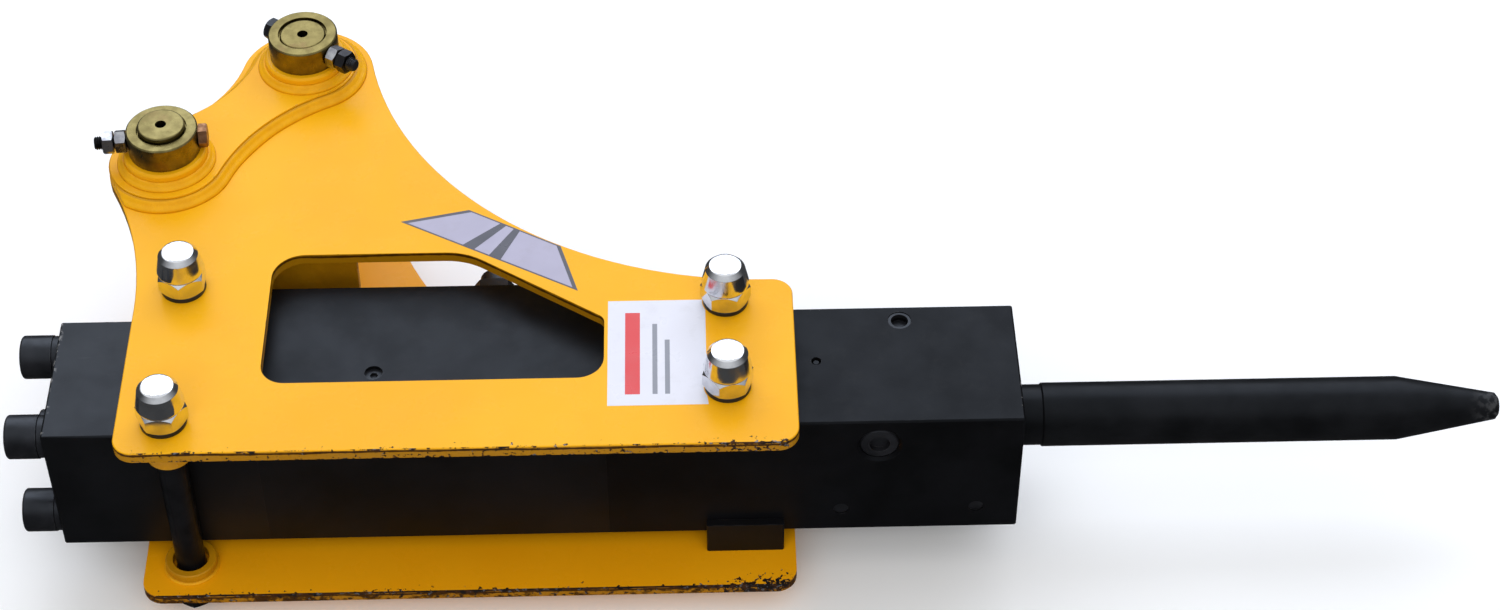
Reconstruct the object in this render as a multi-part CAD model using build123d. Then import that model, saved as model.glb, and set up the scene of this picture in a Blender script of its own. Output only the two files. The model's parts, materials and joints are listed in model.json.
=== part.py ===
from build123d import *
import os
from math import hypot, sqrt

# Side-type hydraulic breaker for a mini excavator, lying on its lower side plate.
# Millimetres. The origin is the arm pin axis at the middle plane between the side plates.
# +X runs along the tool towards the chisel tip, +Y away from the hammer body, +Z up.

# --- driving dimensions -------------------------------------------------------------
TOOL_Y = -343.0                 # tool axis: parallel to X at this Y, z = 0
BODY_HALF = 65.0                # half of the square hammer section
BODY_BACK, BACK_JOINT, FRONT_JOINT, BODY_FRONT = -184.5, -15.0, 265.0, 602.3
EDGE_CHAMFER = 1.5
OVERSHOOT = 1.0                 # how far a cutter runs past the face it opens
THROUGH = 200.0                 # reach of cutters that pass right through a piece
BOLT_FIT = 0.5                  # radial play of bolts in their holes

# side plates and their window
PLATE_THICKNESS, PLATE_BREAK = 10.0, 0.8
PLATE_INNER = 82.0              # height of the upper plate's inner face above z = 0
PLATE_OUTER = PLATE_INNER + PLATE_THICKNESS
PLATE_LEFT, PLATE_RIGHT = -119.5, 419.3
PLATE_NEAR, PLATE_FAR = -452.0, -269.6
PLATE_CORNER = 17.0
WINDOW_CORNERS = [(-10.0, -378.4), (265.0, -378.4), (265.0, -311.4), (149.0, -232.0), (-10.0, -232.0)]
WINDOW_RADII = [20.0, 22.0, 9.0, 55.0, 26.0]

# pin bosses, doublers and the rib between the plates
ARM_PIN = (0.0, 0.0)
LINK_PIN = (-109.5, -122.0)
ARM_BOSS, LINK_BOSS = 58.0, 50.0             # plate radius about each pin
ARM_SWEEP, LINK_SWEEP, WAIST_SWEEP = 347.0, 333.0, 120.0   # concave plate edges
DOUBLER_ARM, DOUBLER_LINK, DOUBLER_WAIST, DOUBLER_OUTER = 44.0, 48.5, 170.0, 126.0
DOUBLER_THICKNESS = 10.0
DOUBLER_TUCK = 4.0              # the doubler steps in by this much where it leaves the link boss
BOSS_RADIUS, BOSS_HEIGHT, BOSS_BREAK = 35.5, 12.5, 2.0     # rings on the collar side only
BOSS_FOOT = PLATE_OUTER + DOUBLER_THICKNESS
BOSS_TOP = BOSS_FOOT + BOSS_HEIGHT
RIB_LEFT, RIB_RIGHT, RIB_NEAR, RIB_FAR, RIB_BREAK = -105.0, 53.0, -203.0, -193.0, 1.0

# pins
PIN_RADIUS, PIN_CLEARANCE, BUSH_WALL = 20.0, 0.05, 5.0
END_PLAY = 0.3                  # gap under each pin collar and over each pin head
PIN_HEAD_RADIUS, PIN_HEAD_HEIGHT, PIN_HEAD_BREAK = 30.2, 9.0, 2.0
LINK_PIN_PROUD, ARM_PIN_PROUD = 4.5, -1.0    # pin end above its collar
PIN_ROUND = 2.2
PULLER_RADIUS, PULLER_DEPTH = 4.7, 30.0      # blind hole in the upper end of each pin
COLLAR_RADIUS, COLLAR_HEIGHT, COLLAR_BREAK = 30.2, 23.0, 1.2
COLLAR_RELIEF, COLLAR_RELIEF_DEPTH = 1.2, 4.0              # groove around the pin end
LOCK_BOLT_RADIUS, LOCK_FLATS, LOCK_FIT = 6.0, 18.0, 0.2    # M12
LOCK_HEAD, LOCK_NUT, LOCK_TIP, LOCK_TIP_BREAK = 7.5, 9.0, 57.4, 1.2
LOCK_NUTS = [(30.8, 4.0), (41.4, 21.0)]      # distance from the pin axis, and turn, of each jam nut
LOCK_RISE = 11.5                # cross bolt above the foot of the collar
LINK_LOCK_ANGLE, ARM_LOCK_ANGLE = 185.0, -34.0

# side bolts and the rings around the rear ones
SIDE_BOLT_RADIUS, SIDE_FLATS = 12.0, 36.0    # M24
REAR_BOLT_X, REAR_BOLT_OFFSET = -81.0, 75.0
FRONT_BOLT_X, FRONT_BOLT_OFFSET = 364.0, 48.0
SIDE_WASHER_RADIUS, SIDE_WASHER, SIDE_WASHER_BREAK = 18.6, 4.0, 0.8
SIDE_HEAD, SIDE_NUT, SIDE_THREAD = 19.0, 16.0, 26.0
HEAD_TURN = 30.0                # a corner of each bolt head points away from the pins
CAP_GAP = 0.4                   # room over the bolt end inside each dome nut
CAP_WALL = [(0, 15), (17.4, 15), (17.4, 17.4), (19.4, 18.2), (19.4, 19.4), (16.4, 33.4), (13.0, 37.2),
            (11.0, 38.0), (0, 38.6)]         # dome of the nut: radius, height over the nut foot
NUT_TURNS = [0.0, 30.0, 10.0, -4.0]          # how far each dome nut happened to be tightened
STEEP_CORNERS = 1.0             # 45 degree corner chamfer of the dome nuts
SLIGHT_CORNERS = 0.58           # 30 degree corner chamfer of the other hexagons
RING_BORE, RING_BREAK = 15.0, 1.0
LOWER_RING_RADIUS, LOWER_RING_HEIGHT = 21.2, 9.0
UPPER_RING_RADIUS, UPPER_RING_HEIGHT = 18.5, 27.5
RING_GAP = 0.6                  # between the long rings and the hammer body

# pads between plates and body
SADDLE_LEFT, SADDLE_RIGHT, SADDLE_SIDE, SADDLE_LIP, SADDLE_BREAK = 345.4, 409.4, 72.0, 50.0, 1.0
REAR_PAD_LEFT, REAR_PAD_RIGHT, REAR_PAD_SIDE = -60.0, -25.0, 45.0

# tie bolts
TIE_OFFSET, TIE_RADIUS = 44.5, 12.0
TIE_HEAD_RADIUS, TIE_HEAD, TIE_HEAD_ROUND = 18.0, 26.0, 2.6
TIE_WASHER_RADIUS, TIE_WASHER, TIE_WASHER_ROUND = 17.3, 5.6, 0.9
TIE_SOCKET, TIE_SOCKET_DEPTH = 11.0, 14.0
TIE_END, TIE_HOLE_END = 332.0, 335.0         # inside the front head

# piston, its bores and seals
PISTON_BACK, PISTON_TIP, PISTON_BREAK = -45.0, 401.0, 3.0
PISTON_REAR, PISTON_HEAD, PISTON_FRONT, PISTON_NOSE = 25.0, 31.0, 26.5, 22.0
PISTON_HEAD_START, PISTON_HEAD_END, PISTON_NOSE_START = 95.0, 190.0, 385.0
PISTON_WAIST, PISTON_WAIST_START, PISTON_WAIST_END = 28.0, 132.0, 152.0
PISTON_FIT, SEAL_FIT = 0.05, 0.1
GAS_CHAMBER, GAS_CHAMBER_BACK = 32.0, -150.0
HOLDER_RADIUS, HOLDER_END = 38.0, 20.0       # seal retainer at the back of the cylinder
PISTON_CHAMBER_END = 205.0
GAS_SEAL_RADIUS, GAS_SEAL_WIDTH, GAS_SEALS_X = 31.0, 6.0, [-8.0, 4.0]
O_RING_INNER, O_RING_HALF = 35.4, 2.0
OIL_SEAL_RADIUS, OIL_SEAL_WIDTH, OIL_SEALS_X, DUST_SEAL_X = 33.0, 7.0, [216.0, 234.0], 250.0
STRIKE_RADIUS, STRIKE_END = 28.0, 405.0      # free bore of the front head around the piston nose

# valve in the chest on the far side of the cylinder
CHEST_FAR, CHEST_END, CHEST_BREAK, CHEST_OVERLAP = 100.0, 260.0, 3.0, 5.0
VALVE_OFFSET, SLEEVE_RADIUS, SLEEVE_END = 80.0, 15.0, 222.0
SPOOL_RADIUS, SPOOL_LEFT, SPOOL_RIGHT = 9.0, 40.0, 190.0
SPOOL_GROOVES_X, SPOOL_GROOVE_WIDTH, SPOOL_GROOVE_DEPTH = [75.0, 140.0], 18.0, 3.0
OIL_WAYS_X, OIL_WAY, OIL_WAY_START = [35.0, 190.0], 5.0, 25.0
SLEEVE_GROOVE_HALF, SLEEVE_GROOVE_DEPTH, SLEEVE_HOLE = 6.0, 2.5, 2.5
COVER_THICKNESS, COVER_GAP, COVER_HALF = 12.0, 0.5, 36.0
COVER_SCREW_SIDE, COVER_SCREW_Z = 8.0, 27.0
SCREW_RADIUS, SCREW_LENGTH, SCREW_HOLE = 4.0, 17.0, 19.0   # M8
SCREW_HEAD_RADIUS, SCREW_HEAD, SCREW_SOCKET, SCREW_SOCKET_DEPTH = 6.5, 8.0, 3.5, 4.0

# hose ports on the valve chest
PORT_X, PORT_Z = 170.0, 32.0
PORT_BORE, PORT_WAY, PORT_WAY_START = 9.0, 6.0, 70.0
PORT_FLATS, PORT_HEX, PORT_STEM = 41.0, 18.0, 14.0
NIPPLE_RADIUS, NIPPLE_LENGTH, NIPPLE_BREAK = 13.2, 19.0, 1.0
PORT_SEAL_RADIUS, PORT_SEAL = 17.0, 2.0

# small fittings of the body
PLUG_X, PLUG_RADIUS, PLUG_DEPTH, PLUG_SUNK = 77.0, 7.5, 9.0, 3.5
PLUG_SOCKET, PLUG_SOCKET_FOOT = 3.5, 3.0
GAS_VALVE_X, GAS_WAY, GAS_VALVE_RADIUS, GAS_VALVE_FLANGE = -135.0, 2.5, 8.0, 11.0
GAS_VALVE_DEPTH, GAS_VALVE_PROUD, GAS_VALVE_BORE = 12.0, 6.0, 2.0
GAS_SEAT_RADIUS, GAS_SEAT_DEPTH = 4.0, 4.0
GREASE_X, GREASE_OFFSET, GREASE_WAY = 437.0, 4.0, 2.5
GREASE_RECESS, GREASE_DEPTH = 4.2, 9.0
GREASE_PROFILE = [(0, 0), (3.9, 0), (3.9, 2.2), (2.4, 2.8), (2.4, 4.8), (3.1, 5.8), (2.2, 7.4), (0, 7.4)]

# chisel and what guides it in the front head
CHISEL_RADIUS, SHANK_RADIUS, SPIGOT_RADIUS = 26.5, 25.3, 22.0
CHISEL_BACK, SPIGOT_END, CHISEL_SHOULDER = 420.0, 445.0, 624.8
CHISEL_BREAK, SHOULDER_BREAK = 3.0, 1.2
CONE_START, CHISEL_TIP, TIP_RADIUS, TIP_BREAK, TIP_SWELL = 920.2, 1005.6, 10.5, 2.5, 0.7
TOOL_CLEARANCE = 0.3
BUSH_RADIUS = 35.0
THRUST_START, THRUST_STEP, THRUST_CONE, THRUST_END = 404.0, 427.0, 430.0, 466.0
FRONT_BUSH_START, DUST_LIP_START, DUST_LIP_RADIUS, FRONT_BUSH_SUNK = 506.0, 590.0, 30.0, 2.0
RETAINER_X, RETAINER_Z, RETAINER_RADIUS, RETAINER_SUNK = 485.8, 36.5, 16.0, 2.0
RETAINER_MOUTH = 2.5            # chamfer at both ends of the retaining pin's hole
RETAINER_EYE, RETAINER_EYE_DEPTH = 8.5, 5.0  # blind hole in both ends of the retaining pin
FLAT_START, FLAT_END, FLAT_SIDE = 456.8, 516.8, 40.0       # flat of the chisel under the retaining pin
STOP_X, STOP_OFFSET, STOP_RADIUS, STOP_FOOT, STOP_SUNK = 507.7, 48.8, 7.0, 4.0, 7.0
STOP_RING_RADIUS, STOP_RING_DEPTH, STOP_RING_SUNK = 9.7, 4.0, 0.6
BUSH_PINS_X, BUSH_PIN_Z, BUSH_PIN_RADIUS = [456.2, 567.6], -39.5, 6.2
BUSH_PIN_SUNK, BUSH_PIN_STOP = 1.5, 15.0

REAR_BOLTS = [(REAR_BOLT_X, TOOL_Y + side * REAR_BOLT_OFFSET) for side in (-1, 1)]
FRONT_BOLTS = [(FRONT_BOLT_X, TOOL_Y + side * FRONT_BOLT_OFFSET) for side in (-1, 1)]
SIDE_BOLTS = REAR_BOLTS + FRONT_BOLTS
TIE_BOLTS = [(y, z) for y in (-TIE_OFFSET, TIE_OFFSET) for z in (-TIE_OFFSET, TIE_OFFSET)]
PINS = [LINK_PIN, ARM_PIN]
COVER_SCREWS = [(VALVE_OFFSET + side * COVER_SCREW_SIDE, z)
                for side in (-1, 1) for z in (-COVER_SCREW_Z, COVER_SCREW_Z)]


# --- shapes -------------------------------------------------------------------------
def box(x0, x1, y0, y1, z0, z1):
    """Block between two opposite corners."""
    block = Box(x1 - x0, y1 - y0, z1 - z0)
    return Pos((x0 + x1) / 2, (y0 + y1) / 2, (z0 + z1) / 2) * block


def rod_x(x0, x1, radius, offset=0.0, z=0.0):
    """Cylinder along X; offset is measured from the tool axis."""
    return Pos((x0 + x1) / 2, TOOL_Y + offset, z) * Rot(0, 90, 0) * Cylinder(radius, x1 - x0)


def rod_y(x, z, offset0, offset1, radius):
    """Cylinder along Y between two offsets from the tool axis."""
    place = Pos(x, TOOL_Y + (offset0 + offset1) / 2, z) * Rot(90, 0, 0)
    return place * Cylinder(radius, offset1 - offset0)


def rod_z(x, y, z0, z1, radius):
    """Cylinder along Z."""
    return Pos(x, y, (z0 + z1) / 2) * Cylinder(radius, z1 - z0)


def ring_x(x0, x1, outer, inner, offset=0.0, z=0.0):
    """Ring about an axis along X."""
    return rod_x(x0, x1, outer, offset, z) - rod_x(x0 - OVERSHOOT, x1 + OVERSHOOT, inner, offset, z)


def ring_z(x, y, z0, z1, outer, inner):
    """Ring about a vertical axis."""
    return rod_z(x, y, z0, z1, outer) - rod_z(x, y, z0 - OVERSHOOT, z1 + OVERSHOOT, inner)


def hex_socket(radius, depth):
    """Hexagon cutter standing on z = 0."""
    return extrude(RegularPolygon(radius, 6), depth)


def hex_prism(flats, height, corners=SLIGHT_CORNERS):
    """Hexagon prism standing on z = 0, its corners chamfered at both ends."""
    corner = flats / sqrt(3)
    trim = corners * (corner - flats / 2)
    outline = Polyline((0, 0), (flats / 2, 0), (corner, trim), (corner, height - trim),
                       (flats / 2, height), (0, height), close=True)
    barrel = revolve(Plane.XZ * make_face(outline), Axis.Z)
    return extrude(RegularPolygon(corner, 6), height) & barrel


def turned(points):
    """Solid of revolution about the tool axis from (x, radius) points."""
    outline = Polyline(*[(x, TOOL_Y + radius) for x, radius in points], close=True)
    return revolve(make_face(outline), Axis((0, TOOL_Y, 0), (1, 0, 0)))


def turned_z(points, x, y, foot):
    """Solid of revolution about a vertical axis from (radius, height over the foot) points."""
    outline = Polyline(*[(radius, foot + height) for radius, height in points], close=True)
    return Pos(x, y, 0) * revolve(Plane.XZ * make_face(outline), Axis.Z)


def mirrored(shape):
    """The same piece on the lower side of the middle plane."""
    return mirror(shape, Plane.XY)


def break_edge(shape, axis, size, end=-1):
    """Chamfer the outer rim of the last face along an axis, or of the first one with end=0."""
    return chamfer(shape.faces().sort_by(axis)[end].outer_wire().edges(), size)


def save(name, *solids):
    """Write one node; several solids stay separate pieces of one group."""
    os.makedirs("parts", exist_ok=True)
    shape = solids[0] if len(solids) == 1 else Compound(children=list(solids))
    export_step(shape, "parts/" + name + ".step")


# --- side plate outline -------------------------------------------------------------
def touching_circle(first, first_radius, second, second_radius, radius, side):
    """Centre of the circle of the given radius that touches two circles from outside."""
    span = hypot(second[0] - first[0], second[1] - first[1])
    along = (second[0] - first[0]) / span, (second[1] - first[1]) / span
    reach1 = radius + first_radius
    reach2 = radius + second_radius
    step = (reach1 ** 2 - reach2 ** 2 + span ** 2) / (2 * span)
    rise = side * sqrt(reach1 ** 2 - step ** 2)
    return first[0] + along[0] * step - along[1] * rise, first[1] + along[1] * step + along[0] * rise


def touch(centre, radius, other):
    """Point of a circle that faces another centre."""
    share = radius / hypot(other[0] - centre[0], other[1] - centre[1])
    return centre[0] + share * (other[0] - centre[0]), centre[1] + share * (other[1] - centre[1])


def arc(centre, radius, start, end):
    """Arc of less than half a turn between two points of a circle."""
    middle = (start[0] + end[0]) / 2, (start[1] + end[1]) / 2
    return ThreePointArc(start, touch(centre, radius, middle), end)


def plate_outline():
    """Straight box around the hammer that sweeps up into the two pin bosses."""
    arm_centre_y = PLATE_FAR + ARM_SWEEP
    arm_centre = sqrt((ARM_SWEEP + ARM_BOSS) ** 2 - arm_centre_y ** 2), arm_centre_y
    link_centre_x = PLATE_LEFT - LINK_SWEEP
    drop = sqrt((LINK_SWEEP + LINK_BOSS) ** 2 - (link_centre_x - LINK_PIN[0]) ** 2)
    link_centre = link_centre_x, LINK_PIN[1] - drop
    waist_centre = touching_circle(LINK_PIN, LINK_BOSS, ARM_PIN, ARM_BOSS, WAIST_SWEEP, 1)
    arm_start = arm_centre[0], PLATE_FAR
    arm_end = touch(ARM_PIN, ARM_BOSS, arm_centre)
    waist_arm = touch(ARM_PIN, ARM_BOSS, waist_centre)
    waist_link = touch(LINK_PIN, LINK_BOSS, waist_centre)
    link_start = touch(LINK_PIN, LINK_BOSS, link_centre)
    link_end = PLATE_LEFT, link_centre[1]
    right_angles = [(PLATE_LEFT, PLATE_NEAR), (PLATE_RIGHT, PLATE_NEAR), (PLATE_RIGHT, PLATE_FAR)]
    face = make_face([
        Polyline(link_end, *right_angles, arm_start),
        arc(arm_centre, ARM_SWEEP, arm_start, arm_end),
        arc(ARM_PIN, ARM_BOSS, arm_end, waist_arm),
        arc(waist_centre, WAIST_SWEEP, waist_arm, waist_link),
        arc(LINK_PIN, LINK_BOSS, waist_link, link_start),
        arc(link_centre, LINK_SWEEP, link_start, link_end),
    ])
    corners = [v for v in face.vertices() for x, y in right_angles if hypot(v.X - x, v.Y - y) < 1]
    return fillet(corners, PLATE_CORNER)


def window_outline():
    """Opening in the side plate, each corner with its own radius."""
    face = make_face(Polyline(*WINDOW_CORNERS, close=True))
    for (x, y), radius in zip(WINDOW_CORNERS, WINDOW_RADII):
        corner = min(face.vertices(), key=lambda v: hypot(v.X - x, v.Y - y))
        face = fillet(corner, radius)
    return face


def doubler_outline():
    """Dog-bone around the two pins, its long sides swept between the bosses."""
    tucked = DOUBLER_LINK - DOUBLER_TUCK
    inner_centre = touching_circle(LINK_PIN, DOUBLER_LINK, ARM_PIN, DOUBLER_ARM, DOUBLER_WAIST, -1)
    outer_centre = touching_circle(LINK_PIN, tucked, ARM_PIN, DOUBLER_ARM, DOUBLER_OUTER, 1)
    inner_arm = touch(ARM_PIN, DOUBLER_ARM, inner_centre)
    inner_link = touch(LINK_PIN, DOUBLER_LINK, inner_centre)
    outer_arm = touch(ARM_PIN, DOUBLER_ARM, outer_centre)
    outer_link = touch(LINK_PIN, DOUBLER_LINK, outer_centre)
    outer_start = touch(LINK_PIN, tucked, outer_centre)
    arm_top = touch(ARM_PIN, DOUBLER_ARM, (-LINK_PIN[0], -LINK_PIN[1]))
    link_bottom = touch(LINK_PIN, DOUBLER_LINK, (2 * LINK_PIN[0], 2 * LINK_PIN[1]))
    return make_face([
        arc(inner_centre, DOUBLER_WAIST, inner_link, inner_arm),
        arc(ARM_PIN, DOUBLER_ARM, inner_arm, arm_top),
        arc(ARM_PIN, DOUBLER_ARM, arm_top, outer_arm),
        arc(outer_centre, DOUBLER_OUTER, outer_arm, outer_start),
        Line(outer_start, outer_link),
        arc(LINK_PIN, DOUBLER_LINK, outer_link, link_bottom),
        arc(LINK_PIN, DOUBLER_LINK, link_bottom, inner_link),
    ])


# --- bracket ------------------------------------------------------------------------
def plates():
    """Two window plates, the doublers on their outer faces and the rib between them."""
    plate = Pos(0, 0, PLATE_INNER) * extrude(plate_outline() - window_outline(), PLATE_THICKNESS)
    plate = break_edge(plate, Axis.Z, PLATE_BREAK)
    for x, y in SIDE_BOLTS:
        plate -= rod_z(x, y, 0, THROUGH, SIDE_BOLT_RADIUS + BOLT_FIT)
    doubler = Pos(0, 0, PLATE_OUTER) * extrude(doubler_outline(), DOUBLER_THICKNESS)
    for x, y in PINS:
        bush_hole = rod_z(x, y, 0, THROUGH, PIN_RADIUS + BUSH_WALL)
        plate -= bush_hole
        doubler -= bush_hole
    save("side_plate_upper", plate)
    save("side_plate_lower", mirrored(plate))
    save("doubler_upper", doubler)
    save("doubler_lower", mirrored(doubler))
    rib = box(RIB_LEFT, RIB_RIGHT, RIB_NEAR, RIB_FAR, -PLATE_INNER, PLATE_INNER)
    save("cross_rib", chamfer(rib.edges().filter_by(Axis.Z), RIB_BREAK))


def bosses():
    """Boss rings on the upper doubler and bronze bushes through both sides."""
    rings = []
    bushes = []
    for x, y in PINS:
        ring = ring_z(x, y, BOSS_FOOT, BOSS_TOP, BOSS_RADIUS, PIN_RADIUS + BUSH_WALL)
        rings.append(break_edge(ring, Axis.Z, BOSS_BREAK))
        for z0, z1 in ((PLATE_INNER, BOSS_TOP), (-BOSS_FOOT, -PLATE_INNER)):
            bushes.append(ring_z(x, y, z0, z1, PIN_RADIUS + BUSH_WALL, PIN_RADIUS + PIN_CLEARANCE))
    save("pin_boss_rings", *rings)
    save("pin_bushes", *bushes)


def bolt_rings():
    """Rings on the plates' inner faces; the long upper ones are notched around the body."""
    reach = BODY_HALF + RING_GAP
    notch = box(-THROUGH, THROUGH, TOOL_Y - reach, TOOL_Y + reach, 0, reach)
    rings = []
    for x, y in REAR_BOLTS:
        short = ring_z(x, y, PLATE_INNER - LOWER_RING_HEIGHT, PLATE_INNER, LOWER_RING_RADIUS, RING_BORE)
        rings.append(mirrored(break_edge(short, Axis.Z, RING_BREAK, end=0)))
        tall = ring_z(x, y, PLATE_INNER - UPPER_RING_HEIGHT, PLATE_INNER, UPPER_RING_RADIUS, RING_BORE)
        rings.append(break_edge(tall, Axis.Z, RING_BREAK, end=0) - notch)
    save("rear_bolt_rings", *rings)


def side_bolts():
    """Four long bolts with dome nuts that clamp the side plates over the hammer body."""
    bolts = []
    washers = []
    nuts = []
    nut_foot = PLATE_OUTER + SIDE_WASHER
    bolt_end = nut_foot + SIDE_THREAD
    for (x, y), turn in zip(SIDE_BOLTS, NUT_TURNS):
        head = Pos(x, y, -nut_foot - SIDE_HEAD) * Rot(0, 0, HEAD_TURN) * hex_prism(SIDE_FLATS, SIDE_HEAD)
        bolts.append(head + rod_z(x, y, -nut_foot, bolt_end, SIDE_BOLT_RADIUS))
        washer = ring_z(x, y, PLATE_OUTER, nut_foot, SIDE_WASHER_RADIUS, SIDE_BOLT_RADIUS + BOLT_FIT)
        washer = break_edge(washer, Axis.Z, SIDE_WASHER_BREAK)
        washers += [washer, mirrored(washer)]
        hexagon = hex_prism(SIDE_FLATS, SIDE_NUT, STEEP_CORNERS)
        hexagon = Pos(x, y, nut_foot) * Rot(0, 0, turn) * hexagon
        bore = rod_z(x, y, 0, bolt_end + CAP_GAP, SIDE_BOLT_RADIUS)
        nuts.append(hexagon + turned_z(CAP_WALL, x, y, nut_foot) - bore)
    save("side_bolts", *bolts)
    save("side_bolt_washers", *washers)
    save("dome_nuts", *nuts)


def saddles():
    """Pads that fill the gap between body and plates; the front ones grip the body's edges."""
    pad = box(SADDLE_LEFT, SADDLE_RIGHT, TOOL_Y - SADDLE_SIDE, TOOL_Y + SADDLE_SIDE,
              SADDLE_LIP, PLATE_INNER)
    pad -= box(-THROUGH, 3 * THROUGH, TOOL_Y - BODY_HALF, TOOL_Y + BODY_HALF, 0, BODY_HALF)
    pad = chamfer(pad.edges().filter_by(Axis.Z).group_by(Axis.Y)[0], SADDLE_BREAK)
    for x, y in FRONT_BOLTS:
        pad -= rod_z(x, y, 0, THROUGH, SIDE_BOLT_RADIUS + BOLT_FIT)
    save("front_saddle_upper", pad)
    save("front_saddle_lower", mirrored(pad))
    rear = box(REAR_PAD_LEFT, REAR_PAD_RIGHT, TOOL_Y - REAR_PAD_SIDE, TOOL_Y + REAR_PAD_SIDE,
               BODY_HALF, PLATE_INNER)
    save("rear_pads", rear, mirrored(rear))


def pin_set(name, centre, proud, lock_angle):
    """Headed pin with its collar, locked by a cross bolt and two jam nuts."""
    x, y = centre
    collar_foot = BOSS_TOP + END_PLAY
    collar_top = collar_foot + COLLAR_HEIGHT
    pin_top = collar_top + proud
    head_top = -BOSS_FOOT - END_PLAY
    pin = rod_z(x, y, head_top, pin_top, PIN_RADIUS)
    pin = fillet(pin.faces().sort_by(Axis.Z)[-1].edges(), PIN_ROUND)
    head = rod_z(x, y, head_top - PIN_HEAD_HEIGHT, head_top, PIN_HEAD_RADIUS)
    pin += break_edge(head, Axis.Z, PIN_HEAD_BREAK, end=0)
    pin -= rod_z(x, y, pin_top - PULLER_DEPTH, pin_top + OVERSHOOT, PULLER_RADIUS)
    collar = ring_z(x, y, collar_foot, collar_top, COLLAR_RADIUS, PIN_RADIUS)
    collar = break_edge(collar, Axis.Z, COLLAR_BREAK)
    relief_foot = collar_top - COLLAR_RELIEF_DEPTH
    collar -= rod_z(x, y, relief_foot, collar_top + OVERSHOOT, PIN_RADIUS + COLLAR_RELIEF)
    placed = Pos(x, y, collar_foot + LOCK_RISE) * Rot(0, 0, lock_angle) * Rot(0, 90, 0)
    hole = placed * Cylinder(LOCK_BOLT_RADIUS + LOCK_FIT, 3 * COLLAR_RADIUS)
    save(name + "_pin", pin - hole)
    save(name + "_pin_collar", collar - hole)
    head_hex = Pos(0, 0, -COLLAR_RADIUS - LOCK_HEAD) * hex_prism(LOCK_FLATS, LOCK_HEAD)
    shank = Cylinder(LOCK_BOLT_RADIUS, LOCK_TIP + COLLAR_RADIUS)
    shank = Pos(0, 0, (LOCK_TIP - COLLAR_RADIUS) / 2) * shank
    save(name + "_lock_bolt", placed * (head_hex + break_edge(shank, Axis.Z, LOCK_TIP_BREAK)))
    nuts = []
    for foot, turn in LOCK_NUTS:
        nut = Pos(0, 0, foot) * Rot(0, 0, turn) * hex_prism(LOCK_FLATS, LOCK_NUT)
        nuts.append(placed * (nut - Cylinder(LOCK_BOLT_RADIUS, THROUGH)))
    save(name + "_lock_nuts", *nuts)


# --- hammer body --------------------------------------------------------------------
def bolt_passages(body, x0, x1, radius):
    """The body with holes for the four tie bolts."""
    for y, z in TIE_BOLTS:
        body -= rod_x(x0, x1, radius, y, z)
    return body


def back_head():
    """Rear casting with the gas chamber, and the valve that charges it."""
    half = BODY_HALF
    back = box(BODY_BACK, BACK_JOINT, TOOL_Y - half, TOOL_Y + half, -half, half)
    rims = back.edges().filter_by(Axis.X) + back.faces().sort_by(Axis.X)[0].edges()
    back = bolt_passages(chamfer(rims, EDGE_CHAMFER), BODY_BACK - OVERSHOOT, BACK_JOINT + OVERSHOOT,
                         TIE_RADIUS + BOLT_FIT)
    for x, y in REAR_BOLTS:
        back -= rod_z(x, y, -THROUGH, THROUGH, SIDE_BOLT_RADIUS + 2 * BOLT_FIT)
    back -= rod_x(GAS_CHAMBER_BACK, BACK_JOINT + OVERSHOOT, GAS_CHAMBER)
    back -= rod_y(GAS_VALVE_X, 0, 0, half + OVERSHOOT, GAS_WAY)
    back -= rod_y(GAS_VALVE_X, 0, half - GAS_VALVE_DEPTH, half + OVERSHOOT, GAS_VALVE_RADIUS)
    save("back_head", back)

    end = half + GAS_VALVE_PROUD
    valve = rod_y(GAS_VALVE_X, 0, half - GAS_VALVE_DEPTH, end, GAS_VALVE_RADIUS)
    valve += rod_y(GAS_VALVE_X, 0, half, end, GAS_VALVE_FLANGE)
    valve -= rod_y(GAS_VALVE_X, 0, 0, end + OVERSHOOT, GAS_VALVE_BORE)
    valve -= rod_y(GAS_VALVE_X, 0, end - GAS_SEAT_DEPTH, end + OVERSHOOT, GAS_SEAT_RADIUS)
    save("gas_charging_valve", valve)


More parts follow.
